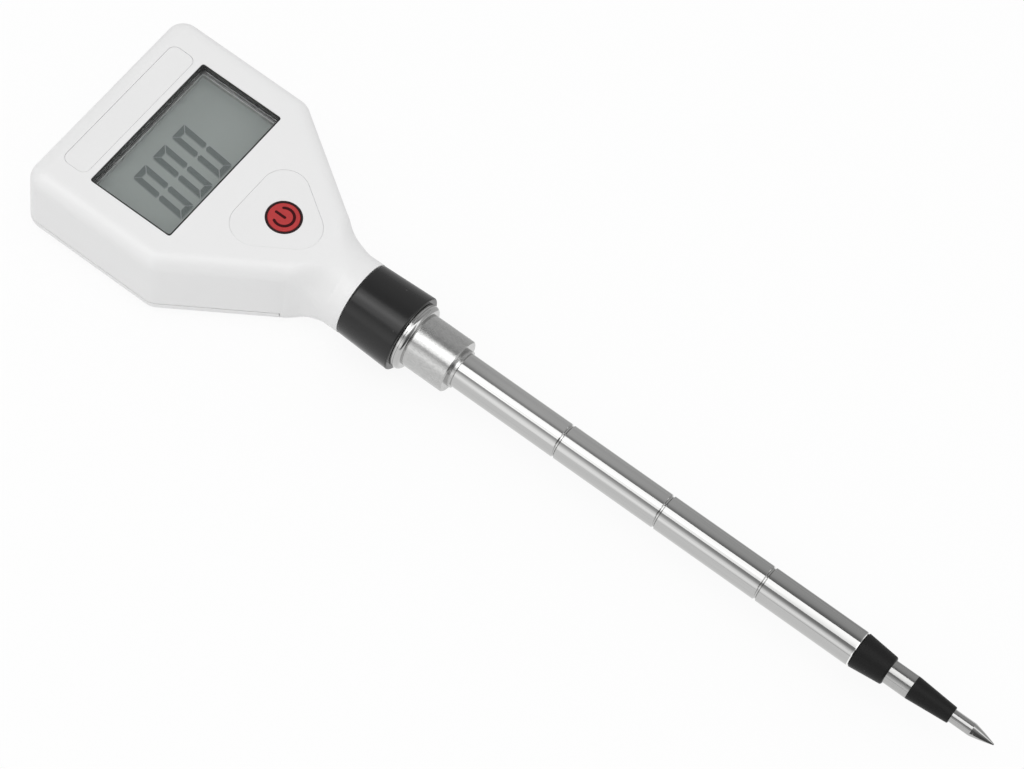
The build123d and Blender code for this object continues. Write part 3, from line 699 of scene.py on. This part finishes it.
@dataclass
class Housing(SubAssembly):
    """White shells, their inlays and the screws at the back."""

    screw_low_x: float = 8.5
    screw_low_y: float = 48.45
    screw_high_x: float = 17.705
    screw_high_y: float = 88.68
    screw_seat_z: float = -7.4
    head_radius: float = 2.0
    head_height: float = 1.4
    shank_radius: float = 1.05
    shank_length: float = 10.3
    thread_root: float = 0.8
    thread_pitch: float = 0.8
    recess_reach: float = 1.2
    recess_half_width: float = 0.3
    recess_depth: float = 0.85
    recess_proud: float = 0.3
    recess_foot_share: float = 0.6
    recess_mouth_share: float = 1.1
    first_turn: float = 0.4
    next_turn: float = 1.1
    point_length: float = 0.2
    thread_start: float = 0.6
    plain_length: float = 1.0
    relief: float = 0.1
    dome: tuple[Point, ...] = ((1.0, 0.0), (1.0, 0.5), (0.93, 0.75), (0.75, 0.92), (0.4, 1.0), (0.0, 1.0))
    screw_steps: int = 40
    label_growth: float = 0.03
    overlay_growth: float = 0.055
    film_smooth_degrees: float = 5.0
    film_weld: float = 0.0001
    upright: float = 0.5

    def build(self) -> None:
        """Dresses the shells, fits the inlays and makes the screws."""
        self.dress(WHITE_SHELL, "front_housing", "rear_cover")
        for name, node, growth in (
            ("label_film", "name_plate", self.label_growth),
            ("key_film", "key_overlay", self.overlay_growth),
        ):
            film = self.add(self.snug_film(name, node, growth), WHITE_INLAY, "head", "inlay_white")
            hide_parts(node)
        screws = self.add(self.case_screws(), SCREW_STEEL, "head", "screw_steel")
        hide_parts("case_screws")

    def snug_film(self, name: str, node: str, growth: float) -> Piece:
        """Makes an inlay that fills its recess closely, as a glued film does.

        Args:
            name: The piece's name.
            node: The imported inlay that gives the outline.
            growth: How far the outline grows, in millimetres.

        Returns:
            The piece.
        """
        bm = bmesh.new()
        bm.from_mesh(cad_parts[node].data)
        bmesh.ops.remove_doubles(bm, verts=bm.verts, dist=self.film_weld * MM)
        bm.normal_update()
        ways = {}
        for vert in bm.verts:
            sides = [face.normal for face in vert.link_faces if abs(face.normal.z) < self.upright]
            way = sum(sides, Vector())
            ways[vert] = way.normalized() if way.length else way
        for vert, way in ways.items():
            vert.co += way * growth * MM
        return made_object(name, bm, self.film_smooth_degrees)

    def screw_places(self) -> list[Matrix]:
        """Gives the seat of each screw, with the local Z axis out of the back.

        Returns:
            The seats, in millimetres.
        """
        turn = Matrix.Rotation(math.pi, 4, "X")
        spots = [(s * self.screw_low_x, self.screw_low_y) for s in (-1, 1)]
        spots += [(s * self.screw_high_x, self.screw_high_y) for s in (-1, 1)]
        return [Matrix.Translation((x, y, self.screw_seat_z)) @ turn for x, y in spots]

    def screw_profile(self) -> list[Point]:
        """Gives the screw's profile from its tip to the top of its domed head.

        Returns:
            Points of (radius, height), in millimetres.
        """
        tip = -self.shank_length
        points = [(0.0, tip), (self.thread_root / 2, tip + self.point_length)]
        for i in range(int((self.shank_length - self.plain_length) / self.thread_pitch)):
            low = tip + self.thread_start + i * self.thread_pitch
            points += [(self.thread_root, low), (self.shank_radius, low + self.thread_pitch / 2)]
        points += [(self.thread_root, -self.relief), (self.shank_radius, 0.0)]
        return points + [(self.head_radius * r, self.head_height * h) for r, h in self.dome]

    def recess(self, bm: BMesh, place: Matrix, angle: float) -> None:
        """Adds a tapered four-armed plug, the form of the driver recess.

        Args:
            bm: The mesh that receives it.
            place: The screw's seat.
            angle: How the recess is turned, in radians.
        """
        reach, half = self.recess_reach, self.recess_half_width
        star = [(reach, -half), (reach, half), (half, half), (half, reach), (-half, reach), (-half, half)]
        star += [(-x, -y) for x, y in star]
        levels = (
            (self.head_height - self.recess_depth, self.recess_foot_share),
            (self.head_height + self.recess_proud, self.recess_mouth_share),
        )
        turned = place @ Matrix.Rotation(angle, 4, "Z")
        rings = [[turned @ Vector((x * share, y * share, z)) for x, y in star] for z, share in levels]
        tube(bm, [[bm.verts.new(point * MM) for point in ring] for ring in rings])

    def case_screws(self) -> Piece:
        """Makes the four screws with their driver recesses.

        Returns:
            The piece.
        """
        screws, plugs = bmesh.new(), bmesh.new()
        for i, place in enumerate(self.screw_places()):
            lathe(screws, self.screw_profile(), place, self.screw_steps)
            self.recess(plugs, place, self.first_turn + self.next_turn * i)
        piece = made_object("case_screw_set", screws)
        cut_away(piece, made_object("recess_tool", plugs))
        return piece


@dataclass
class Display(SubAssembly):
    """Display window, glass, the lit segments and their painted shadow."""

    glass_z: float = 6.1
    film: float = 0.02
    middle_y: float = 70.67
    first_x: float = -9.28
    pitch: float = 6.325
    digits: int = 3
    half_width: float = 1.43
    half_height: float = 6.23
    stroke: float = 1.3
    gap: float = 0.13
    waist: float = 0.14
    lean_degrees: float = 5.5
    painted_shadow_shift: Point = (-0.28, -0.22)
    window_lift: float = 0.03
    window_round: float = 0.35
    window_break: float = 0.12
    window_smooth_degrees: float = 25.0
    corner_steps: int = 6

    def build(self) -> None:
        """Dresses the display and lays the segments on the glass, over a painted shadow of them."""
        # The liner's greys paint a highlight line at the window's edge and light over its shade.
        self.dress(LINER_PAINTED_LIGHT, "lcd_bezel")
        window = self.add(self.window(), CLEAR_WINDOW, "head", "clear_window")
        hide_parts("lcd_window")
        self.dress(DISPLAY_GREY, "lcd_panel")
        self.dress(DARK_FRAME, "lcd_holder")
        self.dress(SEAL_RUBBER, "lcd_contact_strips")
        # The paler copy of the zeros, moved aside under the segments, is their painted shadow on the display.
        shade = self.zeros("segment_painted_shadows", self.painted_shadow_shift, self.glass_z)
        self.add(shade, SEGMENT_PAINTED_SHADOW, "head", "display_glass")
        lit = self.zeros("display_segments", (0.0, 0.0), self.glass_z + self.film)
        self.add(lit, SEGMENT_GREY, "head", "display_glass")

    def window(self) -> Piece:
        """Makes the clear plate, with broken edges, just above the ledge that it is glued to.

        Returns:
            The piece.
        """
        low, high = (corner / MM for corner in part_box("lcd_window"))
        radius, edge, foot = self.window_round, self.window_break, low.z + self.window_lift
        left, right, front, back = low.x + radius, high.x - radius, low.y + radius, high.y - radius
        middles = ((right, back), (left, back), (left, front), (right, front))
        bm = bmesh.new()
        rings = []
        for inset, z in ((edge, foot), (0.0, foot + edge), (0.0, high.z - edge), (edge, high.z)):
            points = []
            for turn, (x, y) in enumerate(middles):
                for k in range(self.corner_steps + 1):
                    angle = math.pi / 2 * (turn + k / self.corner_steps)
                    way = Vector((math.cos(angle), math.sin(angle), 0.0))
                    points.append(Vector((x, y, z)) + way * (radius - inset))
            rings.append([bm.verts.new(point * MM) for point in points])
        tube(bm, rings)
        return made_object("window_plate", bm, self.window_smooth_degrees)

    def segments(self) -> list[list[Point]]:
        """Gives the outlines of a zero's six segments, upright, about its middle.

        Returns:
            The corners of each segment, in millimetres.
        """
        half, high, t, g = self.half_width, self.half_height, self.stroke / 2, self.gap
        bar = [
            (half - t - g, high - t), (half + t - g, high + t),
            (-half - t + g, high + t), (-half + t + g, high - t),
        ]
        side = [
            (half + t, high + t - g), (half - t, high - t - g), (half - t, self.waist + t / 2),
            (half, self.waist), (half + t, self.waist + t / 2),
        ]
        shapes = []
        for flip in (1, -1):
            shapes.append([(x, flip * y) for x, y in bar])
            for across in (1, -1):
                shapes.append([(across * x, flip * y) for x, y in side])
        return shapes

    def zeros(self, name: str, shift: Point, z_low: float) -> Piece:
        """Makes the row of leaning zeros.

        Args:
            name: The piece's name.
            shift: How far the row is moved in plan, in millimetres.
            z_low: Height of the film's underside, in millimetres.

        Returns:
            The piece.
        """
        bm = bmesh.new()
        lean = math.tan(math.radians(self.lean_degrees))
        for i in range(self.digits):
            x0, y0 = self.first_x + i * self.pitch + shift[0], self.middle_y + shift[1]
            for outline in self.segments():
                plate(bm, [(x0 + x + y * lean, y0 + y) for x, y in outline], z_low, z_low + self.film)
        return made_object(name, bm)


@dataclass
class Key(SubAssembly):
    """Red key, its trim ring, its printed mark and the switch below."""

    middle_y: float = 46.8
    top_z: float = 10.4
    film: float = 0.015
    mark_radius: float = 2.16
    mark_stroke: float = 0.62
    mark_open_degrees: float = 110.0
    mark_turn_degrees: float = 94.0
    bar_low: float = -0.22
    bar_high: float = 1.98
    arc_steps: int = 40
    cap_steps: int = 8

    def build(self) -> None:
        """Dresses the key and prints its mark."""
        self.dress(RED_KEY, "power_button")
        self.dress(KEY_TRIM, "button_trim")
        self.dress(SWITCH_BLACK, "tact_switch", "switch_plunger")
        self.add(self.mark(), KEY_PRINT, "key", "black_plastic")

    def ribbon(self, path: Sequence[Point]) -> list[Point]:
        """Gives the outline of a rounded stroke along a path.

        Args:
            path: Points along the stroke's middle.

        Returns:
            The stroke's outline.
        """
        half = self.mark_stroke / 2
        ways = []
        for i in range(len(path)):
            (x0, y0), (x1, y1) = path[max(i - 1, 0)], path[min(i + 1, len(path) - 1)]
            ways.append(math.atan2(y1 - y0, x1 - x0))
        right = [(x + half * math.sin(a), y - half * math.cos(a)) for (x, y), a in zip(path, ways)]
        left = [(x - half * math.sin(a), y + half * math.cos(a)) for (x, y), a in zip(path, ways)]
        turns = [math.pi * (k / self.cap_steps - 0.5) for k in range(1, self.cap_steps)]
        (xe, ye), (xs, ys) = path[-1], path[0]
        far = [(xe + half * math.cos(ways[-1] + t), ye + half * math.sin(ways[-1] + t)) for t in turns]
        near = [(xs - half * math.cos(ways[0] + t), ys - half * math.sin(ways[0] + t)) for t in turns]
        return right + far + list(reversed(left)) + near

    def mark(self) -> Piece:
        """Makes the printed power sign: an open ring and a bar.

        Returns:
            The piece.
        """
        bm = bmesh.new()
        start = math.radians(self.mark_turn_degrees + self.mark_open_degrees / 2)
        sweep = math.radians(360 - self.mark_open_degrees)
        angles = [start + sweep * i / self.arc_steps for i in range(self.arc_steps + 1)]
        ring = [(self.mark_radius * math.cos(a), self.mark_radius * math.sin(a)) for a in angles]
        bar = [(0.0, self.bar_low), (0.0, self.bar_high)]
        for path in (ring, bar):
            outline = [(x, y + self.middle_y) for x, y in self.ribbon(path)]
            plate(bm, outline, self.top_z, self.top_z + self.film)
        return made_object("power_mark", bm)


@dataclass
class BatteryBay(SubAssembly):
    """Battery door, cells and their contacts."""

    middle_y: float = 74.18
    cell_x: float = 6.0
    cell_low_z: float = -8.4
    cell_height: float = 5.4
    cell_radius: float = 5.8
    can_height: float = 5.1
    cap_radius: float = 4.6
    seal_width: float = 0.45
    seal_height: float = 0.4
    seal_slope: float = 0.08
    seal_play: float = 0.02
    seal_groove: float = 0.5
    lip: float = 0.25
    lip_drop: float = 0.1
    cap_edge: float = 0.15
    foot_rise: float = 0.05
    foot_share: float = 0.25
    crimp_share: float = 0.2
    round: float = 0.35
    steps: int = 72

    def build(self) -> None:
        """Dresses the door and the contacts and makes the cells."""
        self.dress(WHITE_SHELL, "battery_door")
        self.dress(SPRING_NICKEL, "battery_contacts", "cell_link")
        cells = self.turned_pair("button_cells", self.cell_profile())
        self.add(cells, CELL_NICKEL, "head", "cell_nickel")
        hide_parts("battery_cells")
        seals = self.turned_pair("cell_seals", self.seal_profile())
        self.add(seals, CHIP_BLACK, "head", "black_plastic")

    def places(self) -> list[Matrix]:
        """Gives the foot of each cell, with the local Z axis towards its cap.

        Returns:
            The places, in millimetres.
        """
        low = (-self.cell_x, self.middle_y, self.cell_low_z)
        high = (self.cell_x, self.middle_y, self.cell_low_z + self.cell_height)
        return [Matrix.Translation(low), Matrix.Translation(high) @ Matrix.Rotation(math.pi, 4, "X")]

    def cell_profile(self) -> list[Point]:
        """Gives the profile of a cell's can, crimped lip and cap.

        Returns:
            Points of (radius, height), in millimetres.
        """
        r, h, e = self.cell_radius, self.can_height, self.round
        foot, crimp = self.foot_share * e, self.crimp_share * e
        cap, lip_in, groove = self.cap_radius, self.cap_radius + self.seal_width, h - self.seal_groove
        return [
            (0.0, 0.0), (r - 2 * e, 0.0), (r - e, self.foot_rise), (r - foot, foot), (r, e),
            (r, h - 2 * e), (r - crimp, h - e), (r - e, h - crimp), (lip_in + self.lip, h),
            (lip_in, h - self.lip_drop), (lip_in, groove), (cap, groove), (cap, h + self.cap_edge),
            (cap - self.cap_edge, self.cell_height), (0.0, self.cell_height),
        ]

    def seal_profile(self) -> list[Point]:
        """Gives the profile of the seal between the can and the cap.

        Returns:
            Points of (radius, height), in millimetres.
        """
        inner, outer = self.cap_radius + self.seal_play, self.cap_radius + self.seal_width - self.seal_play
        top, low = self.can_height, self.can_height - self.seal_height
        rim = [(outer, top - self.seal_slope), (inner, top + self.seal_play)]
        return [(inner, low), (outer, low), *rim, (inner, low)]

    def turned_pair(self, name: str, profile: Sequence[Point]) -> Piece:
        """Turns a profile once for each cell.

        Args:
            name: The piece's name.
            profile: Points of (radius, height).

        Returns:
            The piece.
        """
        bm = bmesh.new()
        for place in self.places():
            lathe(bm, profile, place, self.steps)
        return made_object(name, bm)


@dataclass
class Electronics(SubAssembly):
    """Circuit board and what is on it."""

    def build(self) -> None:
        """Dresses the board, its parts and the socket."""
        self.dress(BOARD_MASK, "main_board")
        self.dress(CHIP_BLACK, "controller_chip", "board_components")
        self.dress(SCREW_STEEL, "board_screws")
        self.dress(BLACK_TRIM, "probe_socket")
        self.dress(CONTACT_GOLD, "socket_contacts")


@dataclass
class ProbeJoint(SubAssembly):
    """Collar, its thread on the spigot, and the plug that it holds."""

    root_radius: float = 6.55
    crest_radius: float = 6.97
    pitch: float = 1.5
    thread_low_y: float = 19.8
    thread_high_y: float = 25.3
    foot_half: float = 0.6
    crest_half: float = 0.18
    steps_per_turn: int = 60
    fade_turns: float = 0.35
    end_rise: float = 0.05

    def build(self) -> None:
        """Dresses the collar and the plug and cuts the thread."""
        self.dress(BLACK_COLLAR, "coupling_collar")
        self.dress(BLACK_TRIM, "probe_plug")
        self.dress(CONTACT_GOLD, "plug_pins")
        self.dress(SEAL_RUBBER, "seal_ring")
        self.add(self.thread(), WHITE_SHELL, "head", "housing_white")

    def thread(self) -> Piece:
        """Makes the right-hand thread on the neck's spigot.

        Returns:
            The piece.
        """
        bm = bmesh.new()
        turns = (self.thread_high_y - self.thread_low_y) / self.pitch
        steps = int(turns * self.steps_per_turn)
        rings = []
        for i in range(steps + 1):
            along = turns * i / steps
            fade = min(1.0, along / self.fade_turns, (turns - along) / self.fade_turns)
            rise = max(self.end_rise, fade)
            crest = self.root_radius + (self.crest_radius - self.root_radius) * rise
            angle, y = 2 * math.pi * along, self.thread_low_y + along * self.pitch
            way = Vector((math.sin(angle), 0.0, math.cos(angle)))
            section = (
                (self.root_radius, -self.foot_half), (crest, -self.crest_half),
                (crest, self.crest_half), (self.root_radius, self.foot_half),
            )
            points = [way * radius + Vector((0.0, y + lift, 0.0)) for radius, lift in section]
            rings.append([bm.verts.new(point * MM) for point in points])
        tube(bm, rings)
        return made_object("spigot_thread", bm)


@dataclass
class Probe(SubAssembly):
    """Steel shaft, its ferrule and the electrodes at the tip."""

    def build(self) -> None:
        """Dresses the probe."""
        self.dress(RING_STEEL, "retaining_ring")
        self.dress(BARREL_STEEL, "ferrule")
        self.dress(SHAFT_STEEL, "shaft_tube")
        self.dress(PIN_STEEL, "ring_electrode", "tip_electrode")
        self.dress(BLACK_INSULATOR, "upper_insulator", "lower_insulator")
        self.dress(CHIP_BLACK, "temperature_sensor")
        self.dress(WIRE_COAT, "probe_wires")


# Studio and camera


@dataclass(frozen=True)
class CardRow:
    """A line along a studio card, and how bright it shows on its way to the head; 1 is white."""

    across: float
    height: float
    front: float
    tip: float
    head: float

    def level(self, share: float) -> float:
        """Gives the brightness at a station.

        Args:
            share: -1 in front of the tip, 0 beside the tip, 1 beside the head.

        Returns:
            The brightness.
        """
        other = self.front if share < 0 else self.head
        return self.tip + (other - self.tip) * abs(share)


@dataclass
class Studio:
    """White floor, even sky, an overhead softbox, and a tent of grey cards for the steel. In metres.

    The rows of a card are (place across, brightness at the tip, at the head); the tent's are (degrees,
    brightness before the tip, at the tip, at the head). Stations are (way along the probe, share).
    """

    floor_z: float = -0.01003
    floor_half: float = 6.0
    floor_white: float = 0.9
    floor_glow: float = 0.9
    floor_roughness: float = 0.9
    sky_light: float = 0.81
    box_height: float = 1.0
    box_turn_degrees: float = -54.4
    box_centre: Point = (-0.303, 0.152)
    box_width: float = 0.665
    box_length: float = 1.6
    box_power: float = 2.9
    face_slope: float = -0.716
    face_rows: tuple[Triple, ...] = (
        (-0.603, 1.4, 1.96), (-0.3, 1.75, 1.9), (-0.1, 1.9, 4.2), (0.08, 1.93, 1.93), (0.215, 1.96, 1.96),
    )
    face_stations: tuple[Point, ...] = ((-0.25, 0.0), (0.02, 0.0), (0.24, 1.0), (1.2, 1.0))
    tent_radius: float = 2.0
    tent_rows: tuple[tuple[float, float, float, float], ...] = (
        (90.0, 0.5, 0.44, 0.62), (75.0, 0.5, 0.48, 0.62), (50.0, 0.6, 0.45, 0.66),
        (36.0, 0.8, 0.38, 0.66), (26.0, 1.7, 0.25, 0.62), (14.0, 1.7, 0.16, 0.42),
        (4.0, 0.5, 0.16, 0.4), (-20.0, 0.3, 0.25, 0.4), (-42.0, 0.14, 0.32, 0.55),
        (-49.0, 0.12, 0.42, 0.7), (-61.0, 0.12, 1.05, 1.17), (-73.0, 0.1, 1.4, 1.46),
        (-80.0, 0.1, 1.2, 1.46), (-87.0, 0.1, 0.72, 1.32), (-90.0, 0.12, 0.74, 1.2),
    )
    tent_stations: tuple[Point, ...] = (
        (-12.0, -1.0), (-0.8, -1.0), (-0.35, 0.0), (0.1, 0.0), (0.38, 1.0), (0.52, 0.2), (3.0, 0.2))
    side_flag: tuple[Triple, ...] = ((0.018, 0.4, 0.6), (0.1, 0.42, 0.62), (2.0, 0.45, 0.62))
    side_stations: tuple[Point, ...] = ((-0.118, 0.0), (-0.09, 0.0), (-0.015, 1.0), (0.5, 1.0))
    tip_flag: tuple[Point, ...] = ((-2.0, 0.12), (-0.006, 0.12))
    tip_stations: tuple[Point, ...] = ((-12.0, 0.0), (-0.134, 0.0))
    screen_radius: float = 1.9
    tip_screen: tuple[Point, ...] = ((-54.0, 0.42), (-61.0, 0.56), (-74.0, 0.93), (-83.0, 1.05))
    screen_stations: tuple[Point, ...] = ((-0.12, 0.0), (0.05, 0.0))
    flag_lift: float = 0.0004

    def build(self) -> None:
        """Builds the floor, the sky, the light and the cards."""
        self.sky()
        self.floor()
        self.softbox()
        self.cards()

    @staticmethod
    def seen(graph: Graph) -> Socket:
        """Gives 1 for rays that show a surface, and 0 for rays that only light one.

        Args:
            graph: The node graph of the floor or the sky.

        Returns:
            The socket that gives the number.
        """
        path = graph.node("ShaderNodeLightPath")
        shown = graph.math("MAXIMUM", path.outputs["Is Camera Ray"], path.outputs["Is Glossy Ray"])
        return graph.math("MAXIMUM", shown, path.outputs["Is Transmission Ray"])

    def sky(self) -> None:
        """Lights the meter evenly, and shows white behind it."""
        world = bpy.data.worlds.new("studio_sky")
        bpy.context.scene.world = world
        world.use_nodes = True
        graph = Graph(world.node_tree)
        background = world.node_tree.nodes["Background"]
        background.inputs["Color"].default_value = (1.0, 1.0, 1.0, 1.0)
        strength = graph.ranged(self.seen(graph), WHOLE, (self.sky_light, 1.0))
        graph.feed(background.inputs["Strength"], strength)

    def floor(self) -> None:
        """Lays a white floor that keeps a faint shadow."""
        bm = bmesh.new()
        half = self.floor_half
        corners = ((-half, -half), (half, -half), (half, half), (-half, half))
        bm.faces.new([bm.verts.new((x, y, self.floor_z)) for x, y in corners])
        piece = made_object("studio_floor", bm)
        material, graph = new_material("studio_white")
        nodes = material.node_tree.nodes
        paint = nodes["Principled BSDF"]
        paint.inputs["Base Color"].default_value = (self.floor_white,) * 3 + (1.0,)
        paint.inputs["Roughness"].default_value = self.floor_roughness
        paint.inputs["Specular IOR Level"].default_value = 0.0
        glow = graph.node("ShaderNodeEmission")
        share = graph.math("MULTIPLY", self.seen(graph), self.floor_glow)
        layers = {0: share, 1: paint.outputs["BSDF"], 2: glow.outputs["Emission"]}
        mixed = graph.node("ShaderNodeMixShader", layers)
        graph.feed(nodes["Material Output"].inputs["Surface"], mixed.outputs["Shader"])
        piece.data.materials.append(material)

    def softbox(self) -> None:
        """Hangs the long softbox over the meter; its face is a card of its own."""
        lamp = bpy.data.lights.new("softbox", "AREA")
        lamp.shape = "RECTANGLE"
        lamp.size, lamp.size_y = self.box_length, self.box_width
        lamp.energy = self.box_power
        made = bpy.data.objects.new("softbox", lamp)
        turn = Matrix.Rotation(math.radians(self.box_turn_degrees), 4, "Z")
        made.matrix_world = Matrix.Translation((*self.box_centre, self.box_height)) @ turn
        made.visible_glossy = False
        bpy.context.scene.collection.objects.link(made)

    def cards(self) -> None:
        """Puts up the softbox's face, the tent and the floor flags, which show in gloss alone."""
        glow = self.card_glow()
        slant = Matrix.Identity(4)
        slant[0][1] = self.face_slope
        face = [CardRow(x, self.box_height, tip, tip, head) for x, tip, head in self.face_rows]
        self.card("softbox_face", face, self.face_stations, slant, glow)
        level = Matrix.Identity(4)
        tent = [self.arched(self.tent_radius, *row) for row in self.tent_rows]
        self.card("grey_tent", tent, self.tent_stations, level, glow)
        screen = [self.arched(self.screen_radius, turn, grey, grey, grey) for turn, grey in self.tip_screen]
        self.card("tip_screen", screen, self.screen_stations, level, glow)
        low = self.floor_z + self.flag_lift
        side = [CardRow(x, low, tip, tip, head) for x, tip, head in self.side_flag]
        self.card("side_flag", side, self.side_stations, level, glow)
        tip = [CardRow(x, low, dark, dark, dark) for x, dark in self.tip_flag]
        self.card("tip_flag", tip, self.tip_stations, level, glow)

    @staticmethod
    def arched(radius: float, degrees: float, front: float, tip: float, head: float) -> CardRow:
        """Gives a line on an arch about the shaft.

        Args:
            radius: The arch's radius.
            degrees: Where the line is; 0 is overhead, 90 on the side that the display reads towards.
            front: Brightness in front of the tip.
            tip: Brightness beside the tip.
            head: Brightness beside the head.

        Returns:
            The line.
        """
        angle = math.radians(degrees)
        return CardRow(radius * math.sin(angle), radius * math.cos(angle), front, tip, head)

    @staticmethod
    def card_glow() -> Material:
        """Makes the material of the cards, which shine as bright as their points say.

        Returns:
            The material.
        """
        material, graph = new_material("card_glow")
        nodes = material.node_tree.nodes
        nodes.remove(nodes["Principled BSDF"])
        level = graph.node("ShaderNodeAttribute", attribute_name="glow")
        light = graph.node("ShaderNodeEmission", {"Strength": level.outputs["Fac"]})
        graph.feed(nodes["Material Output"].inputs["Surface"], light.outputs["Emission"])
        return material

    @staticmethod
    def card(
        name: str, rows: Sequence[CardRow], stations: Sequence[Point], place: Matrix, glow: Material
    ) -> None:
        """Makes a card.

        Args:
            name: The card's name.
            rows: The lines that the card runs through.
            stations: Points of (way along the probe, share of the brightness there).
            place: Where the card's own axes lie.
            glow: The cards' material.
        """
        bm = bmesh.new()
        level = bm.verts.layers.float.new("glow")
        lines = []
        for row in rows:
            line = [bm.verts.new(place @ Vector((row.across, along, row.height))) for along, _ in stations]
            for vert, (_, share) in zip(line, stations):
                vert[level] = row.level(share)
            lines.append(line)
        for near, far in zip(lines, lines[1:]):
            for i in range(len(near) - 1):
                bm.faces.new((near[i], near[i + 1], far[i + 1], far[i]))
        piece = made_object(name, bm)
        piece.data.materials.append(glow)
        piece.visible_camera = False
        piece.visible_diffuse = False
        piece.visible_transmission = False
        piece.visible_shadow = False


@dataclass
class Viewpoint:
    """The camera at the photograph's angle. In metres and degrees."""

    eye: Triple = (-0.320135, -0.158444, 0.653703)
    azimuth: float = -65.372
    elevation: float = 61.4016
    roll: float = 13.198
    lens_mm: float = 128.232
    sensor_mm: float = 36.0
    clip_near: float = 0.05
    clip_far: float = 50.0

    def axes(self) -> Matrix:
        """Gives the camera's own axes: right, up and back.

        Returns:
            The axes, as a matrix without a shift.
        """
        a, e, r = (math.radians(angle) for angle in (self.azimuth, self.elevation, self.roll))
        back = Vector((math.sin(a) * math.cos(e), -math.cos(a) * math.cos(e), math.sin(e)))
        level = Vector((math.cos(a), math.sin(a), 0.0))
        right = level * math.cos(r) + back.cross(level) * math.sin(r)
        return Matrix((right, back.cross(right), back)).transposed().to_4x4()

    def build(self) -> None:
        """Sets up the camera."""
        data = bpy.data.cameras.new("viewpoint")
        data.lens = self.lens_mm
        data.sensor_width = self.sensor_mm
        data.sensor_fit = "HORIZONTAL"
        data.clip_start, data.clip_end = self.clip_near, self.clip_far
        camera = bpy.data.objects.new("viewpoint", data)
        camera.matrix_world = Matrix.Translation(self.eye) @ self.axes()
        bpy.context.scene.collection.objects.link(camera)
        bpy.context.scene.camera = camera


def main() -> None:
    """Builds the dressed meter, the studio and the camera."""
    logging.basicConfig(level=logging.INFO, format="%(name)s: %(message)s")
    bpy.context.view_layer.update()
    bpy.context.scene.view_settings.view_transform = "Standard"
    shelf = EffectShelf()
    for assembly in (Housing, Display, Key, BatteryBay, Electronics, ProbeJoint, Probe):
        LOG.info("%s", assembly.__name__)
        assembly(shelf).build()
    Studio().build()
    Viewpoint().build()


if __name__ == "__main__":
    main()
